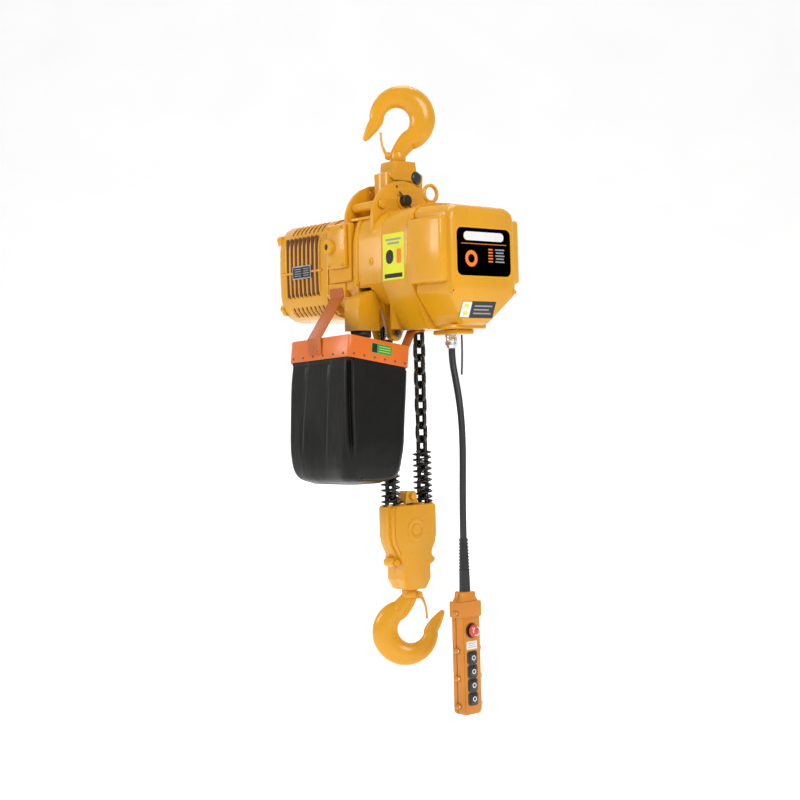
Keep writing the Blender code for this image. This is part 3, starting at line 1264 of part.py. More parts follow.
def make_straps(pivot):
    """Flat hangers from the casing to the two sides of the rim."""
    frame = rim_frame()
    half_y = (BAG_Y[1] - BAG_Y[0]) / 2
    out = frame.to_3x3() @ Vector((0, -1, 0))
    on_rim = frame @ Vector((-0.008, -half_y, 0.010)) + out * (GAP + 0.0001)
    rim_low = frame @ Vector((-0.008, -half_y, -0.012)) + out * (GAP + 0.0001)
    side_y = -CASE_HALF_WIDTH - 0.002 - GAP
    sheet, width = 0.0030, 0.044
    top = Vector((FRAME_REAR + 0.040, side_y, -0.3900))
    bend = Vector((FRAME_REAR + 0.044, side_y, -0.4110))
    clear = on_rim + Vector((-0.004, -0.0005, 0.012))
    sections = []
    for point, normal in ((top, (0, -1, 0)), (bend, (0, -1, 0)), (clear, out), (rim_low, out)):
        normal = Vector(normal)
        half = Vector((width / 2, 0, 0))
        back, front = point, point + normal * sheet
        sections.append([back - half, back + half, front + half, front - half])
    add_node(loft(sections), "bag_strap", "orange_paint", pivot)

    # Every section shares one x and the bend is mitred, so the strip's faces are flat.
    out = frame.to_3x3() @ Vector((0, 1, 0))
    across, half = 0.0815, Vector((0.014, 0, 0))
    rim_low = frame @ Vector((0.075, half_y, -0.008)) + out * GAP
    on_rim = frame @ Vector((0.075, half_y, 0.016)) + out * GAP
    top = Vector((across, -GEAR_CASE_BOTTOM_HALF + 0.012, GEAR_CASE_BOTTOM - GAP))
    inner_top = top + Vector((0, 0.028, 0))
    rim_low.x = on_rim.x = across
    down = Vector((0, 0, -1))
    run = (on_rim - top).normalized()
    slope = Vector((0, -run.z, run.y))

    def mitre(first, second):
        middle = (first + second).normalized()
        return middle * (sheet / middle.dot(first))

    sections = []
    for point, offset in (
        (inner_top, down * sheet),
        (top, mitre(down, slope)),
        (on_rim, mitre(slope, out)),
        (rim_low, out * sheet),
    ):
        back, front = point, point + offset
        sections.append([back - half, back + half, front + half, front - half])
    add_node(loft(sections), "bag_hanger", "orange_paint", pivot)


# ---------------------------------------------------------------- control cable and pendant


def make_gland(pivot):
    x = GLAND_X
    top = GEAR_CASE_BOTTOM - 0.003 - GAP
    base = box((x - 0.030, -0.026, top - 0.010), (x + 0.043, 0.026, top))
    hole = cylinder((x, 0, top - 0.02), (x, 0, top + 0.01), GLAND_RADIUS - 0.003, 16)
    wire_hole = cylinder((0.1920, 0, top - 0.02), (0.1920, 0, top + 0.01), WIRE_RADIUS + 0.001, 10)
    subtract(round_edges(base, 0.002, 1), hole, wire_hole)
    add_node(base, "gland_plate", "yellow_paint", pivot)
    r = GLAND_RADIUS
    low = GLAND_BOTTOM
    mouth = CABLE_RADIUS + 0.0010
    profile = [(0, top - 0.001), (r - 0.0036, top - 0.001), (r - 0.0036, top - 0.0103), (r, top - 0.0103),
               (r, low + 0.018), (r - 0.0015, low + 0.016), (r - 0.0015, low + 0.004),
               (mouth + 0.0020, low), (mouth + 0.0008, low), (mouth, low + MOUTH_DEPTH),
               (0, low + MOUTH_DEPTH)]
    gland = turned(profile, (x, 0, 0), (0, 0, 1), 20, closed=False)
    add_node(gland, "cable_gland", "chrome", pivot)


def make_pendant(pivot, cable_pivot):
    x, half_x, half_y = PENDANT_X, PENDANT_HALF_DEPTH, PENDANT_HALF_WIDTH
    route = smooth_route(CABLE_ROUTE, 0.024)
    add_node(swept([route], CABLE_RADIUS, resolution=2), "pendant_cable", "black_rubber", cable_pivot)
    wire = smooth_route(WIRE_ROUTE, 0.010)
    add_node(swept([wire], WIRE_RADIUS, resolution=1), "strain_wire", "bright_steel", cable_pivot)

    boot = turned(
        [(0, BOOT_TOP), (0.0088, BOOT_TOP), (0.0095, BOOT_TOP - 0.030), (0.0108, BOOT_TOP - 0.034),
         (0.0118, BOOT_TOP - 0.080), (0.0118, PENDANT_TOP + 0.018 + GAP), (0, PENDANT_TOP + 0.018 + GAP)],
        (x, 0, 0), (0, 0, 1), 16, closed=False)
    add_node(boot, "cable_boot", "black_rubber", pivot)

    outline = mirrored([
        (0.0170, PENDANT_TOP + 0.018), (0.0185, PENDANT_TOP + 0.006), (half_y, PENDANT_TOP - 0.006),
        (half_y, PENDANT_BOTTOM + 0.006), (half_y - 0.006, PENDANT_BOTTOM),
    ])
    back_end = x - 0.002
    back = round_edges(plate(outline, x - half_x, back_end), 0.004)
    subtract(back, box((x - half_x + 0.003, -half_y + 0.004, PENDANT_BOTTOM + 0.006),
                       (x + 0.02, half_y - 0.004, PENDANT_TOP - 0.008)))
    add_node(back, "pendant_back", "yellow_plastic", pivot)
    front = round_edges(plate(outline, back_end + GAP, x + half_x), 0.004)
    subtract(front, box((x - 0.02, -half_y + 0.004, PENDANT_BOTTOM + 0.006),
                        (x + half_x - 0.004, half_y - 0.004, PENDANT_TOP - 0.008)))
    size, gap = BUTTON_SIZE, 0.0005
    for index in range(4):
        z = BUTTON_TOP_Z - index * BUTTON_PITCH
        half = size / 2 + gap
        subtract(front, box((x, -half, z - half), (x + 0.05, half, z + half)))
    subtract(front, along_x(0, ESTOP_Z, x, x + 0.05, 0.0080 + gap, 20))
    add_node(front, "pendant_front", "yellow_plastic", pivot)

    face = x + half_x
    for index in range(4):
        z = BUTTON_TOP_Z - index * BUTTON_PITCH
        half = size / 2
        bottom = face - 0.010
        cap = round_edges(
            box((bottom, -half, z - half), (face + BUTTON_PROUD, half, z + half)), 0.003, 2)
        button = new_pivot(f"button_{index + 1}_pivot", (face, 0, z))
        add_node(cap, f"button_{index + 1}", "black_plastic", button)
    mushroom = turned(
        [(0, 0.0170), (0.0060, 0.0165), (0.0115, 0.0140), (ESTOP_RADIUS, 0.0105),
         (ESTOP_RADIUS - 0.0005, 0.0085), (0.0080, 0.0085), (0.0080, -0.0100), (0, -0.0100)],
        (face, 0, ESTOP_Z), (1, 0, 0), 20, closed=False)
    add_node(mushroom, "emergency_stop", "red_plastic", new_pivot("estop_pivot", (face, 0, ESTOP_Z)))


# ---------------------------------------------------------------- assembly


def main():
    hook_pivot = new_pivot("upper_hook_pivot", (0, 0, 0))
    yoke_pivot = new_pivot("yoke_pivot", (0, 0, YOKE_TOP))
    body_pivot = new_pivot("hoist_pivot", (0, PIN_Y, PIN_Z))
    rotor_pivot = new_pivot("rotor_pivot", (0, 0, AXIS_Z))
    layshaft_pivot = new_pivot("layshaft_pivot", (0, 0, AXIS_Z - GEAR_DISTANCE))
    block_pivot = new_pivot("block_pivot", (0, 0, IDLER_Z))
    lower_pivot = new_pivot("lower_hook_pivot", (0, 0, LOWER_SADDLE_Z))
    pendant_pivot = new_pivot("pendant_pivot", (GLAND_X, 0, GLAND_BOTTOM))

    make_hook("upper_hook", HOOK_PLANE, hook_pivot)
    make_nut("upper_hook_nut", HOOK_PLANE, hook_pivot, yoke_pivot, "upper_thrust_bearing")
    make_latch("upper_latch", HOOK_PLANE, hook_pivot)
    make_yoke(yoke_pivot)

    make_suspension_pin(body_pivot)
    make_stay_bolt(body_pivot)
    make_motor_frame(body_pivot)
    make_sprocket_case(body_pivot)
    make_gear_case(body_pivot)
    make_eye_bolt(body_pivot)
    make_motor_shell(body_pivot)
    make_motor_end_cover(body_pivot)
    make_junction_cover(body_pivot)
    make_control_cover(body_pivot)
    make_control_panel(body_pivot)
    make_motor_inside(body_pivot)
    make_dead_end_pin(body_pivot)
    make_chain_guide(body_pivot)
    make_bag_rim(body_pivot)
    make_bag(body_pivot)
    make_straps(body_pivot)
    make_gland(body_pivot)

    make_load_sprocket(rotor_pivot)
    make_rotor(rotor_pivot)
    make_intermediate_gear(layshaft_pivot)

    dead_end = DEAD_END_LINK
    slack_end = -WHEEL_POCKETS - len(SLACK_ROUTE)
    dead_lower = dead_end - (UPPER_FALL_LINKS - WHEEL_POCKETS)
    make_chain("chain_upper_run", slack_end, UPPER_FALL_LINKS - 1, body_pivot)
    make_chain("chain_dead_upper", dead_lower + 1, dead_end, body_pivot)
    make_chain("chain_lower_run", UPPER_FALL_LINKS, dead_lower, block_pivot)

    make_hook_block(block_pivot)
    make_idler(block_pivot)
    make_hook("lower_hook", ROTATED_HOOK_PLANE, lower_pivot)
    make_nut("lower_hook_nut", ROTATED_HOOK_PLANE, lower_pivot, block_pivot, "lower_thrust_bearing")
    make_latch("lower_latch", ROTATED_HOOK_PLANE, lower_pivot)
    make_pendant(pendant_pivot, body_pivot)


main()
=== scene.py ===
"""Looks of the electric chain hoist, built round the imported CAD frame."""

import math

import bmesh
import bpy
from mathutils import Matrix, Vector, bvhtree, noise


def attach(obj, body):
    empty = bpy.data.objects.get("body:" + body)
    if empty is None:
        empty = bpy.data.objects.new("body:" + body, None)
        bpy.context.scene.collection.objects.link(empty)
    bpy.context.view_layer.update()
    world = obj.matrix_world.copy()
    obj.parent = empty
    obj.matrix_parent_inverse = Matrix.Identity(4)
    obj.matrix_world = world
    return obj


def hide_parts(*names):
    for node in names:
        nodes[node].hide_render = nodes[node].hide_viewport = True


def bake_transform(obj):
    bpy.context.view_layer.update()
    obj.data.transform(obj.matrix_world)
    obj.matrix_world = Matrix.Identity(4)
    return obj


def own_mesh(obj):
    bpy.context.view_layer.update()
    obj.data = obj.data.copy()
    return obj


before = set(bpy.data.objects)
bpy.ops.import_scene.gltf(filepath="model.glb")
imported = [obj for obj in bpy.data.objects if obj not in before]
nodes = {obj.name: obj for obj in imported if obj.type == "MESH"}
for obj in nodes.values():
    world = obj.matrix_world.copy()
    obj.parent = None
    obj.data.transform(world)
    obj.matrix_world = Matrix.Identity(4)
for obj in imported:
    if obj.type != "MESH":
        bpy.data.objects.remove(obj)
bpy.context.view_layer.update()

scene = bpy.context.scene

# Facts repeated from the part's source, in metres
HOOK_TURN = math.radians(50.0)
LOWER_SADDLE = -1.168
AXIS_Z = -0.35
IDLER_Z = -0.92
PITCH, WIRE, LINK_WIDTH = 0.03, 0.01, 0.033
WHEEL_LINKS = 10
CHAIN_RADIUS = PITCH / (2 * math.tan(math.pi / WHEEL_LINKS))
CABLE_RADIUS, STRAIN_RADIUS = 0.0072, 0.002
SPRING_BOTTOM, SPRING_TOP = -0.8637, -0.75
STOP_Z, FIRST_BUTTON_Z, BUTTON_STEP = -1.123, -1.18, 0.0286
PENDANT_X, PENDANT_FRONT = 0.18, 0.1967
MOTOR_REAR, FIN_STEP = -0.302, 0.0157
SLACK = [
    (-0.05, -0.38), (-0.062, -0.4072), (-0.082, -0.429), (-0.1045, -0.4482),
    (-0.1165, -0.4755), (-0.1165, -0.5053), (-0.1165, -0.5351), (-0.1165, -0.5649),
]
# The cable and its strain cord lie in the plane y = 0
CABLE = [(x, 0.0, z) for x, z in (
    (0.16, -0.5323), (0.1601, -0.545), (0.1622, -0.565), (0.1668, -0.587), (0.1726, -0.612),
    (0.1782, -0.64), (0.1824, -0.67), (0.1848, -0.702), (0.1854, -0.736), (0.1846, -0.77),
    (0.1832, -0.805), (0.1817, -0.842), (0.1806, -0.88), (0.1801, -0.91), (0.18, -0.9317),
)]
STRAIN = [(x, 0.0, z) for x, z in (
    (0.192, -0.505), (0.1921, -0.52), (0.1917, -0.545), (0.1903, -0.57), (0.1888, -0.588),
)]


# ---- camera

VIEW_AZIMUTH, VIEW_DISTANCE, VIEW_TARGET = math.radians(50), 3.3, Vector((0, 0, -0.64))
VIEW_ROLL, FOCAL_LENGTH, VIEW_SHIFT = -math.atan(0.0275), 67.8, (-0.005625, 0.00125)


def place_camera():
    camera = bpy.data.objects.new("camera", bpy.data.cameras.new("camera"))
    scene.collection.objects.link(camera)
    away = Vector((math.sin(VIEW_AZIMUTH), -math.cos(VIEW_AZIMUTH), 0))
    camera.location = VIEW_TARGET + VIEW_DISTANCE * away
    look = (VIEW_TARGET - camera.location).to_track_quat("-Z", "Y").to_matrix().to_4x4()
    turn = look @ Matrix.Rotation(VIEW_ROLL, 4, "Z")
    camera.matrix_world = Matrix.Translation(camera.location) @ turn
    camera.data.lens = FOCAL_LENGTH
    camera.data.sensor_width = 36
    camera.data.shift_x, camera.data.shift_y = VIEW_SHIFT
    scene.camera = camera


place_camera()


# ---- materials

class Tree:
    """Short names for making a material's nodes."""

    def __init__(self, name, roughness, metallic=0.0, coat=0.0):
        self.material = bpy.data.materials.new(name)
        self.material.use_nodes = True
        self.nodes = self.material.node_tree.nodes
        self.links = self.material.node_tree.links
        self.shader = self.nodes["Principled BSDF"]
        self.shader.inputs["Roughness"].default_value = roughness
        self.shader.inputs["Metallic"].default_value = metallic
        self.shader.inputs["Coat Weight"].default_value = coat
        self.shader.inputs["Coat Roughness"].default_value = 0.12
        self.space = self.nodes.new("ShaderNodeTexCoord").outputs["Object"]

    def join(self, source, target):
        """Gives a socket a link, a number or a colour."""
        if isinstance(source, (int, float)):
            target.default_value = source
        elif isinstance(source, tuple):
            target.default_value = (*source, 1)
        else:
            self.links.new(source, target)

    def noise(self, scale, detail=4.0, rough=0.55, stretch=(1, 1, 1)):
        mapping = self.nodes.new("ShaderNodeMapping")
        mapping.inputs["Scale"].default_value = stretch
        self.join(self.space, mapping.inputs["Vector"])
        texture = self.nodes.new("ShaderNodeTexNoise")
        texture.inputs["Scale"].default_value = scale
        texture.inputs["Detail"].default_value = detail
        texture.inputs["Roughness"].default_value = rough
        self.join(mapping.outputs["Vector"], texture.inputs["Vector"])
        return texture.outputs["Fac"]

    def ramp(self, source, stops):
        ramp = self.nodes.new("ShaderNodeValToRGB")
        elements = ramp.color_ramp.elements
        while len(elements) < len(stops):
            elements.new(0.5)
        for element, (place, colour) in zip(elements, stops):
            element.position = place
            value = colour if isinstance(colour, tuple) else (colour, colour, colour)
            element.color = (*value, 1)
        self.join(source, ramp.inputs["Fac"])
        return ramp.outputs["Color"]

    def mix(self, share, first, second):
        mix = self.nodes.new("ShaderNodeMix")
        mix.data_type = "RGBA"
        for socket, value in ((mix.inputs[0], share), (mix.inputs[6], first), (mix.inputs[7], second)):
            self.join(value, socket)
        return mix.outputs[2]

    def maths(self, operation, first, second):
        node = self.nodes.new("ShaderNodeMath")
        node.operation = operation
        self.join(first, node.inputs[0])
        self.join(second, node.inputs[1])
        return node.outputs["Value"]

    def wave(self, scale, direction):
        texture = self.nodes.new("ShaderNodeTexWave")
        texture.bands_direction = direction
        texture.inputs["Scale"].default_value = scale
        self.join(self.space, texture.inputs["Vector"])
        return texture.outputs["Fac"]

    def colour(self, source):
        self.join(source, self.shader.inputs["Base Color"])

    def rough(self, source, low, high):
        self.join(self.ramp(source, [(0.3, low), (0.7, high)]), self.shader.inputs["Roughness"])

    def bump(self, height, strength, distance):
        bump = self.nodes.new("ShaderNodeBump")
        bump.inputs["Strength"].default_value = strength
        bump.inputs["Distance"].default_value = distance
        self.join(height, bump.inputs["Height"])
        self.join(bump.outputs["Normal"], self.shader.inputs["Normal"])

    def edges(self):
        """Where the surface bends outwards, from the mesh's own points."""
        point = self.nodes.new("ShaderNodeNewGeometry").outputs["Pointiness"]
        return self.ramp(point, [(0.52, 0.0), (0.62, 1.0)])

    def tones(self, source, colour, darkest, lightest):
        """The colour, drifting between two shades of itself."""
        return self.ramp(source, [(0.3, shade(colour, darkest)), (0.7, shade(colour, lightest))])


def shade(colour, factor):
    return tuple(min(1.0, channel * factor) for channel in colour)


def enamel(name, colour, roughness=0.27, cast=0.25, coat=0.25):
    """Glossy enamel over a casting: slight drift of tone, orange peel, dust and a painted highlight on its
    convex edges.
    """
    tree = Tree(name, roughness, coat=coat)
    tree.shader.inputs["Specular IOR Level"].default_value = 0.38
    base = tree.tones(tree.noise(7, 5), colour, 0.9, 1.06)
    dust = tree.ramp(tree.noise(38, 8, 0.7), [(0.6, 0.0), (0.78, 0.2)])
    base = tree.mix(dust, base, shade(colour, 0.72))
    # Painted highlight: convex edges are mixed towards a lighter shade of the colour.
    edge_highlight = tree.maths("MULTIPLY", tree.edges(), 0.3)
    tree.colour(tree.mix(edge_highlight, base, shade(colour, 1.35)))
    tree.rough(tree.noise(21, 6), roughness - 0.05, roughness + 0.12)
    peel = tree.maths("MULTIPLY", tree.noise(420, 2), cast)
    tree.bump(tree.maths("ADD", peel, tree.maths("MULTIPLY", tree.noise(60, 3), 0.5)), 0.12, 0.0012)
    return tree.material


def steel(name, colour, roughness, brush=(1, 1, 1), wear=0.5):
    tree = Tree(name, roughness, metallic=1.0)
    grain = tree.noise(90, 6, 0.6, brush)
    base = tree.tones(grain, colour, 0.75, 1.15)
    worn = tree.maths("MULTIPLY", tree.edges(), wear)
    tree.colour(tree.mix(worn, base, (0.45, 0.44, 0.42)))
    tree.rough(tree.noise(35, 5), roughness - 0.08, roughness + 0.12)
    tree.bump(tree.noise(300, 4, 0.6, brush), 0.12, 0.0006)
    return tree.material


def moulded(name, colour, roughness, grain=500, depth=0.1, coat=0.0):
    """Moulded plastic or rubber with a fine spark-eroded grain."""
    tree = Tree(name, roughness, coat=coat)
    base = tree.tones(tree.noise(12, 4), colour, 0.88, 1.12)
    scuffs = tree.ramp(tree.noise(70, 8, 0.75), [(0.62, 0.0), (0.8, 0.25)])
    tree.colour(tree.mix(scuffs, base, tuple(c * 0.6 + 0.12 for c in colour)))
    tree.rough(tree.noise(30, 4), roughness - 0.05, roughness + 0.1)
    tree.bump(tree.noise(grain, 3), depth, 0.0006)
    return tree.material


def coated_cloth(name, colour):
    """Glossy coated fabric: a fine plain weave under the coating, with soft creases."""
    tree = Tree(name, 0.3, coat=0.12)
    tree.shader.inputs["Specular IOR Level"].default_value = 0.18
    base = tree.tones(tree.noise(9, 5), colour, 0.75, 1.25)
    weave = tree.maths("MULTIPLY", tree.wave(900, "X"), tree.wave(900, "Z"))
    tree.colour(tree.mix(tree.maths("MULTIPLY", weave, 0.06), base, shade(colour, 1.5)))
    tree.rough(tree.noise(16, 5), 0.26, 0.42)
    creases = tree.noise(14, 4, 0.5, (1.6, 1.6, 0.55))
    tree.bump(tree.maths("ADD", creases, tree.maths("MULTIPLY", weave, 0.004)), 0.45, 0.006)
    return tree.material


def printed(name, colour, roughness=0.3):
    """Printed vinyl: a thin even film with slight mottling and fine scuffs."""
    tree = Tree(name, roughness)
    tree.colour(tree.tones(tree.noise(25, 5), colour, 0.93, 1.05))
    tree.rough(tree.noise(80, 6), roughness - 0.05, roughness + 0.1)
    tree.bump(tree.noise(260, 3), 0.05, 0.0003)
    return tree.material


YELLOW = (0.69, 0.318, 0.007)
yellow = enamel("yellow_enamel", YELLOW)
hook_yellow = enamel("hook_enamel", (0.7, 0.325, 0.008), 0.24, 0.12)
orange = enamel("orange_enamel", (0.66, 0.14, 0.01), 0.3, 0.1, 0.15)
strap_orange = enamel("strap_enamel", (0.46, 0.105, 0.01), 0.36, 0.1, 0.1)
chain_black = steel("oiled_black_chain", (0.03, 0.029, 0.026), 0.3, wear=0.2)
spring_black = steel("black_spring_steel", (0.022, 0.022, 0.021), 0.34, wear=0.08)
bright = steel("bright_zinc_steel", (0.62, 0.62, 0.6), 0.24, (1, 1, 6))
dark = steel("dark_oiled_steel", (0.07, 0.06, 0.05), 0.34)
chrome = steel("chrome_plate", (0.86, 0.87, 0.88), 0.1, (1, 1, 4), 0.0)
copper = steel("wound_copper", (0.7, 0.28, 0.12), 0.36, (8, 1, 1))
rubber = moulded("black_rubber", (0.016, 0.016, 0.016), 0.52, 380, 0.2)
cable_black = moulded("cable_sheath", (0.018, 0.018, 0.019), 0.4, 260, 0.1)
black_plastic = moulded("black_plastic", (0.02, 0.02, 0.021), 0.33, coat=0.2)
grey_plastic = moulded("grey_plastic", (0.3, 0.31, 0.31), 0.45)
pendant_yellow = moulded("pendant_plastic", (0.6, 0.205, 0.007), 0.38, 600, 0.12, 0.1)
red_plastic = moulded("stop_red_plastic", (0.62, 0.045, 0.015), 0.28, coat=0.4)
cloth = coated_cloth("coated_bag_cloth", (0.0052, 0.005, 0.004))
# Painted shade: a dark red-brown for the insides of the motor's slots
slot_shade = moulded("slot_shade", (0.12, 0.03, 0.008), 0.8)
print_black = printed("print_black", (0.016, 0.015, 0.014), 0.24)
print_white = printed("print_white", (0.78, 0.78, 0.76))
print_grey = printed("print_grey", (0.3, 0.3, 0.29))
print_orange = printed("print_orange", (0.88, 0.2, 0.02))
print_lemon = printed("print_lemon", (0.72, 0.74, 0.02))
print_green = printed("print_green", (0.02, 0.3, 0.06))
print_silver = steel("print_silver", (0.55, 0.55, 0.56), 0.3, (6, 1, 1), 0.0)


# ---- mesh helpers

def finish_mesh(bm, name, mat, body=None, angle=35):
    bmesh.ops.remove_doubles(bm, verts=bm.verts, dist=1e-7)
    bmesh.ops.recalc_face_normals(bm, faces=bm.faces)
    mesh = bpy.data.meshes.new(name)
    bm.to_mesh(mesh)
    bm.free()
    obj = bpy.data.objects.new(name, mesh)
    scene.collection.objects.link(obj)
    mesh.materials.append(mat)
    mesh.shade_smooth()
    mesh.set_sharp_from_angle(angle=math.radians(angle))
    if body:
        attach(obj, body)
    return obj


def skin(bm, rings, around=False):
    """Faces between each ring of points and the next, and from the last back to the first."""
    for first, second in zip(rings, rings[1:] + rings[:1] if around else rings[1:]):
        for k in range(len(first)):
            after = (k + 1) % len(first)
            bm.faces.new((first[k], first[after], second[after], second[k]))


def spline(points, count):
    """Points at even parameter steps on a Catmull-Rom curve."""
    points = [Vector(p) for p in points]
    ends = [2 * points[0] - points[1]] + points + [2 * points[-1] - points[-2]]
    spans = len(points) - 1
    result = []
    for step in range(count + 1):
        place = spans * step / count
        index = min(int(place), spans - 1)
        t = place - index
        a, b, c, d = ends[index:index + 4]
        result.append(0.5 * (2 * b + (c - a) * t + (2 * a - 5 * b + 4 * c - d) * t * t
                             + (3 * b - a - 3 * c + d) * t ** 3))
    return result


def sweep(bm, path, radii, sides=12, cyclic=False, flatten=None):
    """A tube along a path. flatten is (direction, share), to press its section flat."""
    path = [Vector(p) for p in path]
    count = len(path)
    tangents = []
    for i in range(count):
        before = path[i - 1] if cyclic or i else path[i]
        after = path[(i + 1) % count] if cyclic or i < count - 1 else path[i]
        tangents.append((after - before).normalized())
    side = tangents[0].orthogonal().normalized()
    side, press = (Vector(flatten[0]), flatten[1]) if flatten else (side, 1.0)
    rings = []
    for i, (point, tangent) in enumerate(zip(path, tangents)):
        side = (side - tangent * side.dot(tangent)).normalized()
        other = tangent.cross(side)
        radius = radii[i] if isinstance(radii, (list, tuple)) else radii
        ring = []
        for k in range(sides):
            angle = 2 * math.pi * k / sides
            ring.append(bm.verts.new(
                point + radius * (press * math.cos(angle) * side + math.sin(angle) * other)))
        rings.append(ring)
    skin(bm, rings, cyclic)
    if not cyclic:
        bm.faces.new(list(reversed(rings[0])))
        bm.faces.new(rings[-1])
    return bm


def lathe(bm, profile, matrix, sides=32):
    """A closed profile of (radius, height), turned about the matrix's Z axis."""
    rings = []
    for radius, height in profile:
        if radius < 1e-6:
            rings.append([bm.verts.new(matrix @ Vector((0, 0, height)))])
        else:
            rings.append([bm.verts.new(matrix @ Vector((
                radius * math.cos(2 * math.pi * k / sides),
                radius * math.sin(2 * math.pi * k / sides), height))) for k in range(sides)])
    closed = len(rings[0]) > 1
    for first, second in list(zip(rings, rings[1:])) + ([(rings[-1], rings[0])] if closed else []):
        for k in range(sides):
            after = (k + 1) % sides
            corners = [first[k % len(first)], first[after % len(first)],
                       second[after % len(second)], second[k % len(second)]]
            corners = list(dict.fromkeys(corners))
            if len(corners) > 2:
                bm.faces.new(corners)


def facing(point, direction, up=(0, 0, 1)):
    """A frame at a point with Z along the direction and Y as near up as can be."""
    z = Vector(direction).normalized()
    up = Vector(up)
    x = up.cross(z)
    x = x.normalized() if x.length > 1e-6 else Vector((1, 0, 0))
    y = z.cross(x)
    rows = Matrix((x, y, z)).transposed().to_4x4()
    return Matrix.Translation(Vector(point)) @ rows


def rounded(width, height, radius, steps=5, bulge=0.0):
    """Outline of a rounded rectangle, with sides that can bulge a little."""
    points = []
    for cx, cy, start in ((1, 1, 0), (-1, 1, 90), (-1, -1, 180), (1, -1, 270)):
        for step in range(steps + 1):
            angle = math.radians(start + 90 * step / steps)
            points.append(((cx * (width / 2 - radius)) + radius * math.cos(angle),
                           (cy * (height / 2 - radius)) + radius * math.sin(angle)))
    if bulge:
        points = [(x * (1 + bulge * (1 - (2 * y / height) ** 2)), y) for x, y in points]
    return points


def slab(bm, outline, matrix, low, high, chamfer=0.0):
    """An outline raised from low to high over the matrix's XY plane, with a chamfered rim."""
    count = len(outline)
    centre = Vector((sum(x for x, _ in outline) / count, sum(y for _, y in outline) / count))
    size = max((Vector(p) - centre).length for p in outline)
    levels = [(low, 0.0), (high - chamfer, 0.0), (high, chamfer)] if chamfer else [(low, 0), (high, 0)]
    rings = []
    for level, inset in levels:
        share = 1 - inset / size
        rings.append([bm.verts.new(matrix @ Vector((
            centre.x + (x - centre.x) * share, centre.y + (y - centre.y) * share, level)))
            for x, y in outline])
    skin(bm, rings)
    bm.faces.new(list(reversed(rings[0])))
    bm.faces.new(rings[-1])


def hexagon(radius):
    return [(radius * math.cos(math.radians(a)), radius * math.sin(math.radians(a)))
            for a in range(0, 360, 60)]


def bolt(bm, point, direction, radius, height=None, kind="hex"):
    """A screw head on its washer: hex, socket cap or a domed rivet."""
    matrix = facing(point, direction)
    height = height or radius * 0.9
    if kind == "rivet":
        lathe(bm, [(0, -0.0005), (radius, -0.0005), (radius, 0.0004), (radius * 0.8, height * 0.7),
                   (radius * 0.4, height), (0, height * 1.05)], matrix, 14)
        return
    washer = radius * 1.45
    lathe(bm, [(0, -0.001), (washer, -0.001), (washer, 0.0008), (0, 0.0008)], matrix, 24)
    if kind == "hex":
        slab(bm, hexagon(radius), matrix, 0.0006, 0.0006 + height, radius * 0.12)
    else:
        inner = radius * 0.5
        lathe(bm, [(0, 0.0006), (radius, 0.0006), (radius, height * 0.85), (radius * 0.9, height),
                   (inner, height), (inner, height * 0.4), (0, height * 0.4)], matrix, 20)


# ---- CAD nodes

FINISH = {
    yellow: ("yoke_front yoke_rear stay_bolt motor_frame sprocket_case gear_case eye_bolt motor_shell "
             "motor_end_cover junction_cover control_cover chain_guide gland_plate block_front "
             "block_rear block_bolt_top block_bolt_near block_bolt_far sheave_pin"),
    orange: "bag_rim", strap_orange: "bag_strap bag_hanger",
    bright: "upper_thrust_bearing lower_thrust_bearing sprocket_bearing dead_end_pin motor_rotor",
    dark: ("suspension_pin upper_hook_nut lower_hook_nut load_sprocket intermediate_gear "
           "idler_sheave brake_coil"),
    copper: "stator", black_plastic: "yoke_plug cooling_fan button_1 button_2 button_3 button_4",
    rubber: "chain_exit_rubber", grey_plastic: "control_panel",
    pendant_yellow: "pendant_front pendant_back", red_plastic: "emergency_stop",
}
EDGES = {
    0.003: "yoke_front yoke_rear", 0.0022: "control_cover block_front block_rear",
    0.0016: "gear_case", 0.0014: "motor_frame sprocket_case chain_guide", 0.0012: "motor_shell",
    0.001: ("motor_end_cover junction_cover gland_plate pendant_front pendant_back stay_bolt "
             "sheave_pin"),
    0.0008: "suspension_pin", 0.0007: "block_bolt_top block_bolt_near block_bolt_far",
    0.0006: "bag_rim bag_strap bag_hanger load_sprocket idler_sheave",
}


def dress_nodes():
    """Gives each CAD node that stays in view its material, and the cast ones soft edges."""
    widths = {name: width for width, names in EDGES.items() for name in names.split()}
    for mat, names in FINISH.items():
        for name in names.split():
            node = nodes[name]
            node.data.materials.clear()
            node.data.materials.append(mat)
            for polygon in node.data.polygons:
                polygon.material_index = 0
            weld = node.modifiers.new("Weld", "WELD")
            weld.merge_threshold = 0.00002
            if name in widths:
                bevel = node.modifiers.new("Bevel", "BEVEL")
                bevel.width = widths[name]
                bevel.segments = 3
                bevel.limit_method = "ANGLE"
                bevel.angle_limit = math.radians(28)
            node.data.shade_smooth()
            node.data.set_sharp_from_angle(angle=math.radians(33))


dress_nodes()


# ---- cable and wire


def make_cable():
    path = spline(CABLE, 64)
    cable = finish_mesh(sweep(bmesh.new(), path, CABLE_RADIUS, 18), "control_cable", cable_black)
    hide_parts("pendant_cable")
    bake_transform(cable)


def make_strain_cord():
    wire = spline(STRAIN, 24)
    strain = finish_mesh(sweep(bmesh.new(), wire, STRAIN_RADIUS, 12), "strain_cord", cable_black)
    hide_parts("strain_wire")
    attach(strain, "pendant")


# ---- hooks

BOWL, BACK_CENTRE = Vector((-0.0007, -0.0275)), Vector((0.0123, -0.0219))
BOWL_RADIUS, BACK_RADIUS = 0.0285, 0.0723


def hook_plane(end):
    """The plane that a hook lies in: its saddle at the origin and its shank along -Y."""
    plane = Matrix.Rotation(HOOK_TURN, 4, "Z") @ Matrix.Rotation(math.pi / 2, 4, "X")
    if end == "lower":
        plane = Matrix.Translation((0, 0, LOWER_SADDLE)) @ plane @ Matrix.Rotation(math.pi, 4, "Z")
    return plane


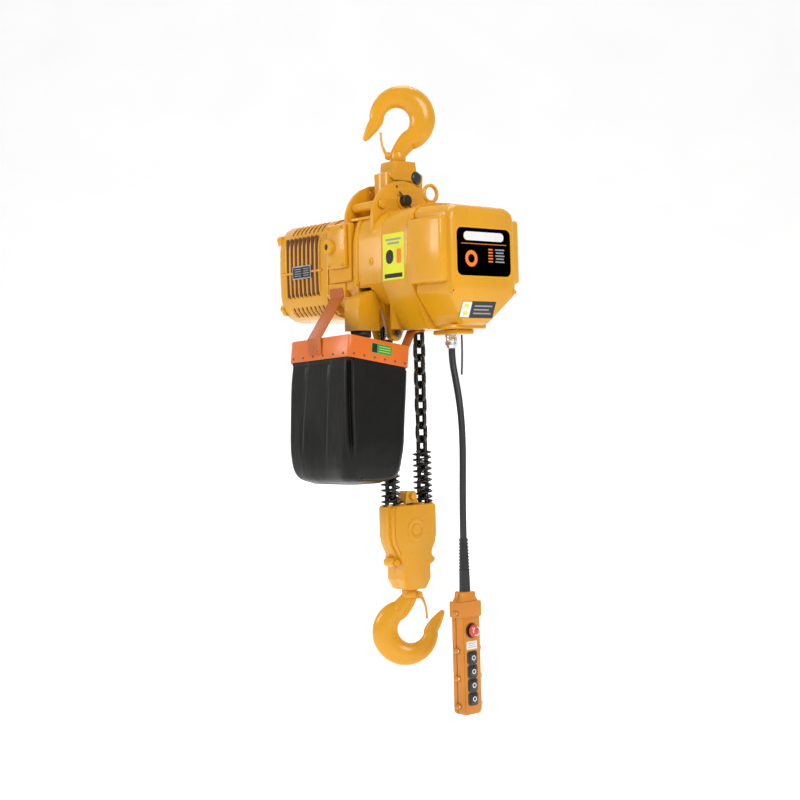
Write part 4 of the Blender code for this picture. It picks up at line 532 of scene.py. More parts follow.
def hook_sections():
    """(centre, half depth) from the beak's tip, round between the bowl and the back, to the neck."""
    towards = BACK_CENTRE - BOWL
    sections = [(Vector((-0.0728, -0.0676)), 0.0036), (Vector((-0.068, -0.0607)), 0.0075),
                (Vector((-0.0616, -0.0513)), 0.0106), (Vector((-0.0548, -0.0408)), 0.0132)]
    for degrees in range(176, -76, -14):
        angle = math.radians(degrees)
        ray = Vector((math.cos(angle), math.sin(angle)))
        across = towards.dot(ray)
        outer = across + math.sqrt(across ** 2 + BACK_RADIUS ** 2 - towards.length_squared)
        sections.append((BOWL + ray * (BOWL_RADIUS + outer) / 2, (outer - BOWL_RADIUS) / 2))
    sections += [(Vector((0.0045, -0.094)), 0.0182), (Vector((0.0005, -0.106)), 0.0174),
                 (Vector((0.0, -0.1163)), 0.0174)]
    return sections


def make_hook(end):
    plane = hook_plane(end)
    sections = hook_sections()
    path = spline([(c.x, c.y, 0) for c, _ in sections], 120)
    radii = [p.x for p in spline([(r, 0, 0) for _, r in sections], 120)]
    normal = (plane.to_3x3() @ Vector((0, 0, 1))).normalized()
    bm = sweep(bmesh.new(), [plane @ p for p in path], radii, 28, flatten=(normal, 0.72))
    down = plane.to_3x3() @ Vector((0, -1, 0))
    neck = facing(plane @ Vector((0, -0.098, 0)), down, (1, 0, 0))
    lathe(bm, [(0, 0), (0.0166, 0), (0.0176, 0.006), (0.0176, 0.0165), (0.016, 0.0185),
               (0.012, 0.0185), (0.012, 0.07), (0, 0.07)], neck, 32)
    lug = plane @ Matrix.Translation((-0.0185, -0.103, -0.0065))
    slab(bm, rounded(0.02, 0.016, 0.006), lug, 0, 0.013, 0.0015)
    hook = finish_mesh(bm, f"{end}_hook_forging", hook_yellow, None, 50)
    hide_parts(f"{end}_hook")
    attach(hook, f"{end}_hook")


def make_latch(end):
    """A pressed latch: a curved channel from its hinge down to the point."""
    plane = hook_plane(end)
    path = spline([(-0.0235, -0.105, 0), (-0.0262, -0.0975, 0), (-0.0318, -0.085, 0),
                   (-0.035, -0.07, 0), (-0.0362, -0.051, 0)], 28)
    normal = plane.to_3x3() @ Vector((0, 0, 1))
    radii = [0.0028 + 0.001 * math.sin(math.pi * min(1, step / 16)) for step in range(len(path))]
    bm = sweep(bmesh.new(), [plane @ p for p in path], radii, 20, flatten=(normal, 2.6))
    hinge = plane @ Matrix.Translation((-0.0235, -0.103, -0.0115))
    lathe(bm, [(0, 0), (0.0042, 0), (0.0048, 0.001), (0.0048, 0.022), (0.0042, 0.023),
               (0, 0.023)], hinge, 20)
    latch = finish_mesh(bm, f"{end}_latch_plate", hook_yellow, None, 40)
    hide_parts(f"{end}_latch")
    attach(latch, f"{end}_latch")


for make in (make_latch, make_hook):
    make("upper")
    make("lower")


# ---- chain and springs

# Link 0 lies level with the sprocket's axis on the live side. The counts go down over the
# sprocket into the bag, and up along the live fall, round the idler and up the dead fall.
LAST_ON_SPROCKET, LAST_LIVE, FIRST_DEAD = -5, 19, 24


def link_frame(index):
    """(centre, direction along the link, direction across it) of one link."""
    up, x_axis = Vector((0, 0, 1)), Vector((1, 0, 0))
    turn = 2 * math.pi / WHEEL_LINKS
    if index < LAST_ON_SPROCKET:
        route = [Vector((0, -CHAIN_RADIUS, AXIS_Z))] + [Vector((0, y, z)) for y, z in SLACK]
        place = LAST_ON_SPROCKET - index
        after = route[min(place + 1, len(route) - 1)]
        along = (after - route[place - 1]).normalized()
        return route[place], along, along.cross(x_axis) if index % 2 == 0 else x_axis
    if index <= 0 or LAST_LIVE < index < FIRST_DEAD:
        start, centre = (index, AXIS_Z) if index <= 0 else (index - LAST_LIVE, IDLER_Z)
        out = Vector((0, math.cos(-start * turn), math.sin(-start * turn)))
        along = x_axis.cross(out)
        place = Vector((0, 0, centre)) + CHAIN_RADIUS * out
    elif index <= LAST_LIVE:
        out, along = Vector((0, 1, 0)), up
        place = Vector((0, CHAIN_RADIUS, AXIS_Z - index * PITCH))
    else:
        out, along = Vector((0, -1, 0)), -up
        place = Vector((0, -CHAIN_RADIUS, IDLER_Z + (index - FIRST_DEAD) * PITCH))
    return place, along, out if index % 2 == 0 else x_axis


def make_chain(name, node, first, last, body):
    """Welded links with round wire, straight sides and a faint weld bead."""
    bm = bmesh.new()
    half, bend = PITCH / 2 + WIRE / 2, (LINK_WIDTH - WIRE) / 2
    radius, bead = WIRE / 2 - 0.0001, 0.00045
    for index in range(first, last + 1):
        centre, along, across = link_frame(index)
        path, radii = [], []
        for end in (1, -1):
            for step in range(9):
                angle = math.radians(-90 + 180 * step / 8)
                u = end * (half - bend + bend * math.cos(angle))
                path.append(centre + along * u + across * (end * bend * math.sin(angle)))
                radii.append(radius)
            middle = centre + across * (end * bend)
            for shift, raised in ((0.0028, 0.0), (0.0008, bead if end > 0 else 0.0), (-0.0012, 0.0)):
                path.append(middle + along * (end * shift))
                radii.append(radius + raised)
        sweep(bm, path, radii, 10, cyclic=True)
    chain = finish_mesh(bm, name, chain_black, None, 60)
    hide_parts(node)
    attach(chain, body)


make_chain("load_chain_upper", "chain_upper_run", -13, 9, "hoist_body")
make_chain("load_chain_dead", "chain_dead_upper", 34, 38, "hoist_body")
make_chain("load_chain_lower", "chain_lower_run", 10, 33, "hook_block")


def make_spring(name, node, y):
    """A coil with closed ends, which lift presses down against the block."""
    wire, coil, turns, per_turn, closed_share = 0.0022, 0.0193, 9.5, 28, 0.055
    path = []
    for step in range(int(turns * per_turn) + 1):
        share = step / (turns * per_turn)
        climb = min(max((share - closed_share) / (1 - 2 * closed_share), 0), 1)
        closed = min(share / closed_share, 1) + max((share - 1 + closed_share) / closed_share, 0)
        z = SPRING_BOTTOM + wire * (1 + closed) + (SPRING_TOP - SPRING_BOTTOM - 4 * wire) * climb
        angle = 2 * math.pi * turns * share
        path.append((coil * math.cos(angle), y + coil * math.sin(angle), z))
    spring = finish_mesh(sweep(bmesh.new(), path, wire, 10), name, spring_black, None, 60)
    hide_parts(node)
    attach(spring, "hook_block")
    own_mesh(spring)


make_spring("buffer_spring_live", "spring_live", CHAIN_RADIUS)
make_spring("buffer_spring_dead", "spring_dead", -CHAIN_RADIUS)


# ---- lights and stage

def light(name, place, target_z, size, power):
    data = bpy.data.lights.new(name, "AREA")
    data.energy, data.size = power, size
    lamp = bpy.data.objects.new(name, data)
    scene.collection.objects.link(lamp)
    lamp.location = place
    aim = Vector((0, 0, target_z)) - Vector(place)
    lamp.rotation_euler = aim.to_track_quat("-Z", "Y").to_euler()


def make_stage():
    """A pale floor that curves up behind the hoist, soft lights and an even world."""
    floor_z, half_width, front, flat, curve, wall_top = -1.46, 9, -9.0, 1.2, 5.0, 9.0
    away = Vector((-math.sin(VIEW_AZIMUTH), math.cos(VIEW_AZIMUTH), 0))
    side = Vector((math.cos(VIEW_AZIMUTH), math.sin(VIEW_AZIMUTH), 0))
    profile = [(front, 0.0), (flat, 0.0)]
    profile += [(flat + curve * math.sin(math.radians(a)), curve - curve * math.cos(math.radians(a)))
                for a in range(5, 91, 5)]
    profile.append((flat + curve, wall_top))
    bm = bmesh.new()
    rows = [[bm.verts.new(away * u + side * w + Vector((0, 0, floor_z + v)))
             for w in (-half_width, half_width)] for u, v in profile]
    for first, second in zip(rows, rows[1:]):
        bm.faces.new((first[0], first[1], second[1], second[0]))
    tree = Tree("pale_floor", 0.85)
    tree.shader.inputs["Emission Color"].default_value = (1, 1, 1, 1)
    tree.shader.inputs["Emission Strength"].default_value = 0.36
    tree.colour(tree.ramp(tree.noise(3, 4), [(0.3, (0.86, 0.86, 0.86)), (0.7, (0.9, 0.9, 0.9))]))
    finish_mesh(bm, "floor", tree.material)
    world = bpy.data.worlds.new("studio")
    scene.world = world
    world.use_nodes = True
    world.node_tree.nodes["Background"].inputs["Color"].default_value = (1, 1, 1, 1)
    world.node_tree.nodes["Background"].inputs["Strength"].default_value = 0.48
    light("key", (3.4, -0.9, 1.3), -0.5, 1.5, 72)
    light("left", (-1.6, -3.4, 0.6), -0.6, 1.4, 46)
    light("top", (-0.4, 0.6, 2.6), -0.5, 1.6, 34)
    light("back", (-2.6, 2.6, 0.4), -0.6, 1.6, 30)
    scene.view_settings.view_transform = "Standard"


make_stage()


# ---- chain bag

BAG_X, BAG_Y, BAG_BOTTOM = (-0.0947, 0.1067), (-0.2342, -0.0738), -0.811
BAG_TOP, CLOTH_THICKNESS = -0.566, 0.0014
RIM_HALF = Vector((0.103, 0.0825, 0.023))
RIM = (Matrix.Translation((0.006, -0.154, -0.5395)) @ Matrix.Rotation(math.radians(-9.0), 4, "X")
       @ Matrix.Rotation(math.radians(-2.2), 4, "Y"))
# Height, how far the outline draws in at the low X and Y sides, at high X and at high Y, and
# its corner radius
BAG_LEVELS = [
    (BAG_TOP, 0.0, 0.0, 0.001, 0.012), (-0.6, -0.0035, 0.0008, 0.002, 0.013),
    (-0.64, -0.006, 0.001, 0.004, 0.014), (-0.69, -0.0085, 0.001, 0.007, 0.015),
    (-0.73, -0.01, 0.001, 0.0095, 0.017), (-0.76, -0.01, 0.002, 0.013, 0.021),
    (-0.785, -0.0072, 0.0044, 0.017, 0.024), (-0.801, 0.002, 0.012, 0.025, 0.026),
    (BAG_BOTTOM, 0.024, 0.033, 0.048, 0.026),
]


def even_outline(x_low, x_high, y_low, y_high, radius, straight=84, corner=16):
    """A rounded rectangle with evenly spread points on its sides and corners."""
    centre = Vector((x_low + x_high, y_low + y_high)) / 2
    corners = rounded(x_high - x_low, y_high - y_low, radius, corner)
    points = [centre + Vector(p) for p in corners]
    loop = []
    for index, point in enumerate(points):
        loop.append(point)
        if index % (corner + 1) == corner:
            after = points[(index + 1) % len(points)]
            loop += [point.lerp(after, step / straight) for step in range(1, straight)]
    return loop


def ridge(distance, width):
    return math.exp(-(distance / width) ** 2)


def fold_depth(x, y, z):
    """How far the cloth is pinched in: deep down the near corner, and faintly on the face."""
    fade = 1 / (1 + math.exp((-0.738 - z) / 0.006))
    near = (y - BAG_Y[0]) - (BAG_X[1] - x)
    depth = 0.0
    if x > BAG_X[1] - 0.05 and y < BAG_Y[0] + 0.05:
        near -= 0.002 * math.sin((z + 0.56) * 17)
        depth += 0.0062 * ridge(near, 0.0034)
        depth -= 0.0036 * ridge(near - 0.0085, 0.003)
        depth -= 0.0034 * ridge(near + 0.01, 0.0032)
    if y < BAG_Y[0] + 0.03:
        for place, width in ((0.04, 0.003), (-0.04, 0.0036)):
            depth += 0.0016 * ridge(x - place - 0.01 * math.sin((z + 0.6) * 9), width)
    return depth * fade


def rim_rings():
    """The cloth's hem inside the rim, and the edge where it starts to hang."""
    rings = []
    hem = ((0.015, 0.0024, 0.009), (0.005, 0.0024, 0.009), (-0.006, 0.0024, 0.009),
           (-0.017, 0.0024, 0.009), (-0.026, 0.0032, 0.01))
    for height, inset, radius in hem:
        x, y = RIM_HALF.x - inset, RIM_HALF.y - inset
        rings.append([RIM @ Vector((p.x, p.y, height)) for p in even_outline(-x, x, -y, y, radius)])
    return rings


def hanging_ring(z, low_side, high_side, lean, radius, start):
    """The cloth's outline at one height, with its folds and crumple."""
    middle = Vector((sum(BAG_X) / 2, sum(BAG_Y) / 2))
    share = (z - BAG_TOP) / (BAG_BOTTOM - BAG_TOP)
    outline = even_outline(BAG_X[0] + low_side, BAG_X[1] - high_side, BAG_Y[0] + low_side,
                           BAG_Y[1] - lean, radius)
    ring = []
    for flat, hung in zip(outline, start):
        height = z + (hung.z - BAG_TOP) * max(0.0, 1 - share) ** 1.3
        inward = (middle - flat).normalized()
        fine = noise.noise(Vector((flat.x * 40, flat.y * 40, z * 44)))
        crumple = 0.004 * share * noise.noise(Vector((flat.x * 13, flat.y * 13, z * 10)))
        crumple += 0.0016 * max(0, share - 0.6) * fine
        flat = flat + inward * (fold_depth(flat.x, flat.y, z) + 0.0012 * share + crumple)
        ring.append(Vector((flat.x, flat.y, height)))
    return ring


def make_bag():
    """A glossy sack hung from the rim, with pinch folds, slack and a sagging foot."""
    levels = spline([key[:3] for key in BAG_LEVELS], 60)
    corners = spline([(*key[3:], 0) for key in BAG_LEVELS], 60)
    rings = rim_rings()
    start = rings[-1]
    for level, round_off in list(zip(levels, corners))[1:]:
        rings.append(hanging_ring(*level, round_off.x, round_off.y, start))
    foot = rings[-1]
    centre = sum(foot, Vector()) / len(foot)
    for shrink in (0.84, 0.66, 0.48, 0.3, 0.12):
        sag = 0.0005 * (1 - shrink)
        rings.append([centre.lerp(p, shrink) - Vector((0, 0, sag)) for p in foot])
    bm = bmesh.new()
    loops = [[bm.verts.new(p) for p in ring] for ring in rings]
    skin(bm, loops)
    bm.faces.new(list(reversed(loops[-1])))
    area = sum(face.calc_area() for face in bm.faces)
    bag = finish_mesh(bm, "slack_chain_bag", cloth, None, 180)
    shell = bag.modifiers.new("Sheet", "SOLIDIFY")
    shell.thickness = CLOTH_THICKNESS
    shell.offset = -1
    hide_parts("chain_bag")
    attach(bag, "hoist_body")


make_bag()


# ---- finding the CAD surfaces

trees = {}


def spot(node, start, direction, lift=0.0):
    """Where a ray from start first meets a CAD node, and the surface's direction there."""
    if node not in trees:
        mesh = nodes[node].data
        trees[node] = bvhtree.BVHTree.FromPolygons(
            [nodes[node].matrix_world @ v.co for v in mesh.vertices],
            [tuple(p.vertices) for p in mesh.polygons])
    direction = Vector(direction).normalized()
    place, normal, _, _ = trees[node].ray_cast(Vector(start), direction)
    if place is None:
        raise ValueError(f"nothing of {node} lies along the ray from {tuple(start)}")
    if normal.dot(direction) > 0:
        normal = -normal
    return place + normal * lift, normal


def screws(name, mat, places, radius, kind="hex", height=None):
    """Screw heads at (node, start, direction) rays, joined as one piece."""
    bm = bmesh.new()
    for node, start, direction in places:
        place, normal = spot(node, start, direction)
        bolt(bm, place, normal, radius, height, kind)
    finish_mesh(bm, name, mat, "hoist_body")


def plate(name, mat, outline, matrix, low, high, chamfer=0.0, body="hoist_body"):
    """One slab as a piece of its own."""
    bm = bmesh.new()
    slab(bm, outline, matrix, low, high, chamfer)
    finish_mesh(bm, name, mat, body)


def turned(name, mat, body, profile, matrix, sides=32, angle=35):
    """One turned shape as a piece of its own."""
    bm = bmesh.new()
    lathe(bm, profile, matrix, sides)
    return finish_mesh(bm, name, mat, body, angle)


def bars(name, mat, body, matrix, places, thickness, low, high, steps=5):
    """Flat bars at (x, y, width), which stand for lines of print."""
    bm = bmesh.new()
    for x, y, width in places:
        slab(bm, rounded(width, thickness, 0.0004, steps), matrix @ Matrix.Translation((x, y, 0)), low, high)
    finish_mesh(bm, name, mat, body)


def decal(name, node, centre, direction, size, layers, radius, bulge=0.0):
    """A printed label laid on a CAD surface. A layer is (material, x, y, width, height, radius)."""
    base, normal = spot(node, centre, direction)
    face = facing(base, normal)
    all_layers = [(layers[0], 0, 0, *size, radius)] + list(layers[1:])
    for depth, (mat, x, y, width, height, corner) in enumerate(all_layers):
        outline = rounded(width, height, corner, 4, bulge if depth == 0 else 0)
        plate(f"{name}_{depth}", mat, outline, face @ Matrix.Translation((x, y, 0)),
              -0.0006, 0.0003 + 0.00012 * min(depth, 3))


# ---- motor

FIRST_SLOT = MOTOR_REAR + 0.03


def shell_arc(bm, x, side, first, last, steps, radii, lift, sides):
    """A bar that follows the motor shell's round from one angle to another."""
    path = []
    for step in range(steps):
        angle = math.radians(first + (last - first) * step / (steps - 1))
        away = Vector((0, side * math.cos(angle), math.sin(angle)))
        start = Vector((x, 0, AXIS_Z)) + away * 0.3
        path.append(spot("motor_shell", start, -away, lift)[0])
    sweep(bm, path, radii, sides)


def make_painted_slot_shade(side, tag):
    """Painted shade for the louvres: a dark sheet behind the shell's slots, dark strips over the slots on
    its side, and short ones in the grooves on its upper and lower shoulders.
    """
    plate(f"motor_slot_shade_{tag}", slot_shade, rounded(0.15, 0.138, 0.004),
          facing((-0.216, side * 0.0935, -0.334), (0, side, 0)), -0.001, 0.001)
    bm = bmesh.new()
    # Painted shade: a dark strip over each slot, and short ones in the shoulder grooves
    for index in range(8):
        x = FIRST_SLOT + FIN_STEP * index
        face = facing((x, side * 0.106, -0.3315), (0, side, 0))
        slab(bm, rounded(0.0092, 0.133, 0.004), face, -0.001, 0.0014)
        for first, last, size in ((44, 57, 0.0042), (-36, -48, 0.0034)):
            shell_arc(bm, x + 0.0079, side, first, last, 5, size, 0.0012 - size, 12)
    finish_mesh(bm, f"painted_slot_shade_{tag}", slot_shade, "hoist_body", 60)


def make_fins(side, tag):
    """Round-edged fins between the slots, and the rib that crosses them."""
    low, high, points = -0.3995, -0.2645, 13
    bm = bmesh.new()
    for index in range(9):
        x = FIRST_SLOT + FIN_STEP * (index - 0.5)
        path = []
        for step in range(points):
            z = low + (high - low) * step / (points - 1)
            path.append(spot("motor_shell", (x, side * 0.3, z), (0, -side, 0), -0.0006)[0])
        sweep(bm, path, [0.0022] + [0.0036] * (points - 2) + [0.0022], 12)
    for index in range(6):
        shell_arc(bm, FIRST_SLOT + 0.016 + FIN_STEP * index, side, 42, 58, 6,
                  [0.0022, 0.0036, 0.0036, 0.0036, 0.0036, 0.0022], -0.0012, 10)
    for index in range(8):
        shell_arc(bm, FIRST_SLOT + FIN_STEP * index, side, -35, -49, 6,
                  [0.0018, 0.0028, 0.0028, 0.0028, 0.0028, 0.0018], -0.0012, 10)
    rib = [(MOTOR_REAR + 0.004 + FIN_STEP * 0.7 * step, side * 0.108, -0.344) for step in range(15)]
    sweep(bm, rib, 0.0026, 10)
    finish_mesh(bm, f"motor_fins_{tag}", yellow, "hoist_body", 60)


def make_end_cover_screws():
    lugs, heads = bmesh.new(), bmesh.new()
    for y, z in ((0.0985, -0.27), (0.09, -0.43)):
        for side in (-1, 1):
            lathe(lugs, [(0, 0), (0.0075, 0), (0.0075, 0.0125), (0.0062, 0.0145), (0, 0.0145)],
                  facing((MOTOR_REAR + 0.002, side * y, z), (-1, 0, 0)), 20)
            lathe(heads, [(0, 0), (0.0036, 0), (0.0036, 0.0014), (0.003, 0.002),
                          (0.0016, 0.002), (0.0016, 0.0006), (0, 0.0006)],
                  facing((MOTOR_REAR - 0.0124, side * y, z), (-1, 0, 0)), 16)
    finish_mesh(lugs, "end_cover_lugs", yellow, "hoist_body")
    finish_mesh(heads, "end_cover_screws", bright, "hoist_body")


def make_motor_details():
    for side, tag in ((-1, "near"), (1, "far")):
        make_painted_slot_shade(side, tag)
        make_fins(side, tag)
    make_end_cover_screws()
    plate("rating_plate", print_silver, rounded(0.07, 0.03, 0.002),
          facing((-0.217, -0.11, -0.344), (0, -1, 0)), -0.002, 0.0006, 0.0003)
    face = facing((-0.217, -0.1106, -0.344), (0, -1, 0))
    plate("rating_plate_panel", print_black, rounded(0.064, 0.024, 0.001),
          face, -0.0004, 0.0001)
    places = [(x, 0.0075 - 0.005 * row, width - 0.003 * (row % 2))
              for row in range(4) for x, width in ((-0.014, 0.026), (0.017, 0.022))]
    bars("rating_plate_bars", print_grey, "hoist_body", face, places, 0.0018, -0.0003, 0.0002)


# ---- casings

def both_sides(x, z):
    """Rays that meet the sprocket casing's two sides at one place."""
    return [("sprocket_case", (x, side * 0.3, z), (0, -side, 0)) for side in (-1, 1)]


def make_case_screws():
    corners = [("junction_cover", (x, -0.3, z), (0, 1, 0)) for x in (-0.0995, -0.0505)
               for z in (-0.2595, -0.3415)]
    screws("junction_cover_screws", yellow, corners, 0.0034, "socket", 0.003)
    turned("inlet_plug", rubber, "hoist_body",
           [(0, -0.006), (0.0069, -0.006), (0.0069, -0.004), (0, -0.004)],
           facing((-0.094, -0.1333, -0.3), (0, -1, 0)), 20)
    flange = [("control_cover", (0.4, side * y, z), (-1, 0, 0)) for side in (-1, 1)
              for y, z in ((0.0985, -0.262), (0.086, -0.418))]
    screws("cover_rim_screws", yellow, flange, 0.0042, "socket", 0.0045)
    screws("case_plug_screw", yellow, both_sides(0.03, -0.341), 0.0058, "socket", 0.0022)
    screws("case_bright_screws", bright, both_sides(-0.018, -0.41), 0.0048)
    screws("case_painted_screws", yellow, both_sides(-0.018, -0.385), 0.0042)
    screws("lobe_bolt", dark, [("dead_end_pin", (0.3, -0.0462, -0.4934), (-1, 0, 0))], 0.0062)


def make_labels():
    """Plain shapes and bars where the real hoist has its print."""
    decal("sticker", "gear_case", (0.104, -0.3, -0.337), (0, 1, 0), (0.07, 0.098),
          [print_lemon, (print_black, 0, -0.04, 0.058, 0.009, 0.001),
           (print_grey, 0, 0.036, 0.05, 0.004, 0.001), (print_grey, 0, 0.028, 0.038, 0.004, 0.001),
           (print_black, -0.012, 0.0, 0.024, 0.03, 0.012),
           (print_orange, 0.018, 0.0, 0.014, 0.03, 0.003)],
          0.002)
    lines = []
    for row in range(5):
        y = 0.006 - 0.0062 * row
        lines.append((print_orange, 0.018, y, 0.013, 0.0028, 0.0008))
        lines.append((print_grey, 0.044, y, 0.026 - 0.004 * (row % 2), 0.0028, 0.0008))
    centre, back = (0.5, 0, -0.339), (-1, 0, 0)
    decal("cover_frame", "control_cover", centre, back, (0.156, 0.106), [yellow], 0.014, 0.03)
    decal("cover_label", "control_cover", centre, back, (0.148, 0.098),
          [print_black, (print_white, 0, 0.032, 0.112, 0.018, 0.009),
           (print_orange, 0, 0.0165, 0.126, 0.0014, 0.0006),
           (print_orange, -0.036, -0.014, 0.034, 0.034, 0.017),
           (print_black, -0.036, -0.014, 0.018, 0.018, 0.009)] + lines, 0.012, 0.03)
    decal("small_label", "control_cover", (0.5, -0.006, -0.456), back, (0.094, 0.036),
          [print_black, (print_white, -0.033, 0, 0.026, 0.034, 0.001),
           *[(print_grey, x, y, width, 0.003, 0.0008)
             for x, y, width in ((0.014, 0.008, 0.05), (0.01, 0, 0.042), (0.014, -0.008, 0.05))],
           *[(print_lemon, -0.033, y, 0.012, 0.008, 0.003) for y in (0.008, -0.008)]], 0.001)


def make_case_details():
    make_case_screws()
    make_labels()
    boss = sweep(bmesh.new(), [(0.032, -0.052, -0.461), (0.0635, -0.052, -0.461)], 0.0058, 18)
    finish_mesh(boss, "guide_stop_boss", yellow, "hoist_body")


def make_rim_details():
    bm = bmesh.new()
    low = -RIM_HALF.z + 0.0075
    turn = RIM.to_3x3()
    for side in (-1, 1):
        for index in range(6):
            along = (index - 2.5) / 3
            for place, way in (((along * RIM_HALF.x, side * RIM_HALF.y, low), (0, side, 0)),
                               ((side * RIM_HALF.x, along * RIM_HALF.y, low), (side, 0, 0))):
                bolt(bm, RIM @ Vector(place), turn @ Vector(way), 0.0027, 0.0014, "rivet")
    finish_mesh(bm, "rim_rivets", dark, "hoist_body")
    face = facing(RIM @ Vector((RIM_HALF.x, 0.004, 0.0045)), turn @ Vector((1, 0, 0)),
                  turn @ Vector((0, 0, 1)))
    layers = [(print_green, 0, 0, 0.054, 0.02, 0.001), (print_black, -0.019, 0, 0.013, 0.018, 0.001)]
    layers += [(print_lemon, 0.008, 0.005 - 0.005 * row, 0.03, 0.001, 0.0004) for row in range(3)]
    for depth, (mat, x, y, width, height, corner) in enumerate(layers):
        plate(f"green_label_{depth}", mat, rounded(width, height, corner, 3),
              face @ Matrix.Translation((x, y, 0)), -0.0004, 0.0002 + 0.00012 * min(depth, 2))
    strap = [nodes["bag_strap"].matrix_world @ v.co for v in nodes["bag_strap"].data.vertices]
    foot = min(v.z for v in strap)
    low_x = [v.x for v in strap if v.z < foot + 0.02]
    middle_x = (min(low_x) + max(low_x)) / 2
    places = [("bag_strap", (middle_x + dx, -0.5, foot + dz), (0, 1, 0))
              for dx in (-0.006, 0.006) for dz in (0.006, 0.016)]
    screws("strap_rivets", strap_orange, places, 0.003, "rivet", 0.0016)


def make_block_details():
    """A turned boss over the idler's pin, on the block's face."""
    place, normal = spot("block_front", (0.3, 0.018, IDLER_Z), (-1, 0, 0))
    place.y = 0
    face = facing(place, normal)
    turned("block_boss", yellow, "hook_block",
           [(0, -0.002), (0.0255, -0.002), (0.025, 0.0006), (0.0235, 0.0012), (0.015, 0.0012),
            (0.014, 0.0002), (0.0128, 0.0002), (0.012, 0.0016), (0, 0.0016)], face, 48, 50)
    turned("block_boss_centre", dark, "hook_block",
           [(0, 0.0014), (0.0014, 0.0014), (0.0014, 0.0018), (0, 0.0018)], face, 12)


# ---- gland, boot and pendant

def make_gland():
    bm = bmesh.new()
    down = facing((0.16, 0, -0.4933), (0, 0, -1), (0, 1, 0))
    lathe(bm, [(0.007, 0.0006), (0.0128, 0.0006), (0.013, 0.006), (0.0122, 0.007),
               (0.0122, 0.017), (0.013, 0.018), (0.013, 0.0235), (0.0124, 0.025),
               (0.0122, 0.029), (0.0116, 0.033), (0.0104, 0.0383), (0.009, 0.0386),
               (0.0082, 0.036), (0.007, 0.035)], down, 36)
    for start in (0.007, 0.024):
        slab(bm, hexagon(0.0138), down, start, start + 0.008, 0.0008)
    gland = finish_mesh(bm, "chrome_gland", chrome, None, 40)
    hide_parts("cable_gland")
    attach(gland, "hoist_body")


def make_boot():
    """A tapered sleeve with moulded ribs down to two thirds of its length."""
    top, foot = -0.932, -1.0417
    long = top - foot
    profile = [(0.0076, 0.0), (0.009, 0.0), (0.0094, 0.0012), (0.0094, 0.005)]
    height = 0.006
    while height < 0.064:
        radius = 0.0088 + 0.003 * height / long
        profile += [(radius - 0.0004, height), (radius - 0.0004, height + 0.003),
                    (radius + 0.0011, height + 0.0036), (radius + 0.0011, height + 0.006)]
        height += 0.0068
    profile += [(0.0108, 0.066), (0.0118, long), (0.0076, long)]
    boot = turned("ribbed_cable_boot", rubber, None, profile,
                  facing((PENDANT_X, 0, top), (0, 0, -1), (0, 1, 0)), 32, 30)
    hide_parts("cable_boot")
    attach(boot, "pendant")
    return boot


def make_pendant_case():
    bm = bmesh.new()
    slab(bm, rounded(0.06, 0.034, 0.004), facing((PENDANT_X, 0, -1.079), (1, 0, 0)),
         -0.0165, 0.0185, 0.002)
    slab(bm, rounded(0.042, 0.194, 0.005), facing((0.1955, 0, -1.197), (1, 0, 0)),
         -0.001, 0.0012, 0.0008)
    finish_mesh(bm, "pendant_shoulders", pendant_yellow, "pendant")
    lugs, heads = bmesh.new(), bmesh.new()
    for z in (-1.086, -1.164, -1.222, -1.28):
        for side in (-1, 1):
            lathe(lugs, [(0, 0), (0.0052, 0), (0.0056, 0.0008), (0.0056, 0.011),
                         (0.0048, 0.012), (0, 0.012)],
                  facing((0.1765, side * 0.03, z), (1, 0, 0)), 18)
            lathe(heads, [(0, 0), (0.0027, 0), (0.0027, 0.0008), (0.002, 0.0014), (0, 0.0015)],
                  facing((0.1884, side * 0.0305, z), (1, 0, 0)), 14)
    finish_mesh(lugs, "pendant_lugs", pendant_yellow, "pendant")
    finish_mesh(heads, "pendant_screws", bright, "pendant")


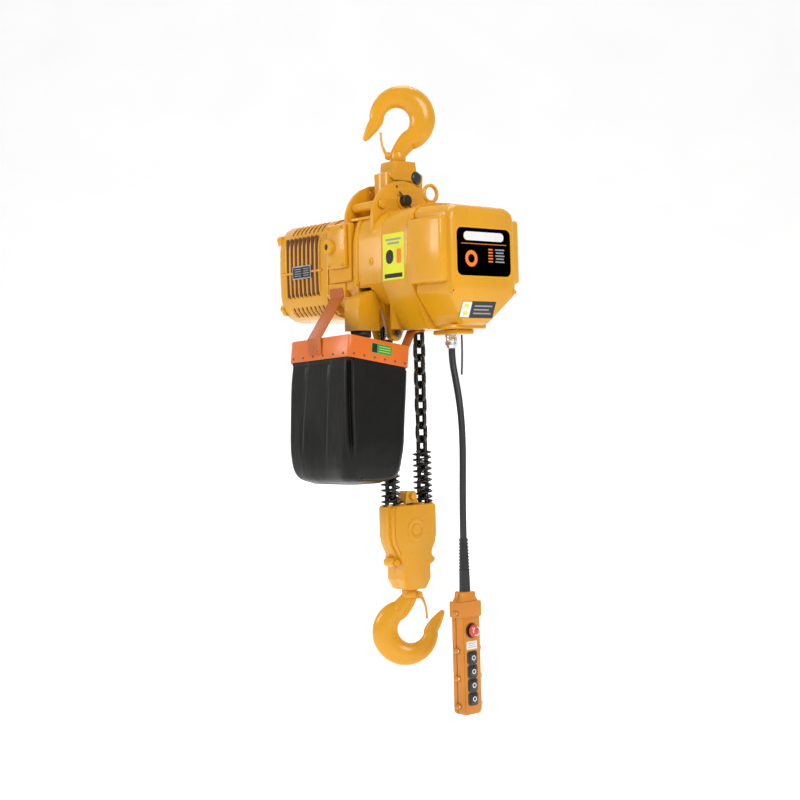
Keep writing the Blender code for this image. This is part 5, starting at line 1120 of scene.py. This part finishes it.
def make_stop():
    """The emergency stop's collar, and three curved marks on its head."""
    turned("stop_collar", black_plastic, "pendant",
           [(0, -0.001), (0.0158, -0.001), (0.0158, 0.0016), (0.015, 0.0026), (0.0139, 0.0026),
            (0.0139, 0.0004), (0, 0.0004)], facing((PENDANT_FRONT, 0, STOP_Z), (1, 0, 0)), 32)
    face, _ = spot("emergency_stop", (0.4, 0, STOP_Z), (-1, 0, 0))
    circle = 0.0086
    bm = bmesh.new()
    for third in range(3):
        path = []
        for step in range(11):
            angle = math.radians(third * 120 + 8 * step)
            path.append(face + Vector((0.0002, circle * math.cos(angle), circle * math.sin(angle))))
        sweep(bm, path, 0.0011, 8)
    finish_mesh(bm, "stop_marks", print_white, "emergency_stop")


def make_button_trim(index):
    """A rounded square bezel round one button, and a printed ring on its face."""
    z = FIRST_BUTTON_Z - BUTTON_STEP * index
    bm = bmesh.new()
    outer, inner = rounded(0.0272, 0.0278, 0.006), rounded(0.0208, 0.0208, 0.0045)
    matrix = facing((PENDANT_FRONT, 0, z), (1, 0, 0))
    levels = ((outer, -0.0004), (outer, 0.0012), (inner, 0.0018), (inner, -0.0004))
    skin(bm, [[bm.verts.new(matrix @ Vector((x, y, height))) for x, y in outline]
              for outline, height in levels], True)
    finish_mesh(bm, f"button_bezel_{index + 1}", black_plastic, "pendant")
    face, normal = spot(f"button_{index + 1}", (0.4, 0, z), (-1, 0, 0))
    turned(f"button_ring_{index + 1}", print_white, f"button_{index + 1}",
           [(0.0034, -0.0003), (0.0052, -0.0003), (0.0052, 0.0004), (0.0034, 0.0004)],
           facing(face, normal), 28)


def make_pendant_details():
    make_pendant_case()
    make_stop()
    plate("pendant_label", print_white, rounded(0.029, 0.017, 0.001, 3),
          facing((PENDANT_FRONT, 0, -1.154), (1, 0, 0)), -0.0004, 0.0003, body="pendant")
    bars("pendant_label_bars", print_grey, "pendant",
         facing((PENDANT_FRONT + 0.0003, 0, -1.15), (1, 0, 0)),
         [(0, -0.004 * row, 0.022 - 0.004 * (row % 2)) for row in range(3)], 0.0012, -0.0002, 0.0001, 2)
    for index in range(4):
        make_button_trim(index)


make_gland()
boot = make_boot()
make_cable()
make_strain_cord()
make_motor_details()
make_case_details()
make_rim_details()
make_block_details()
make_pendant_details()
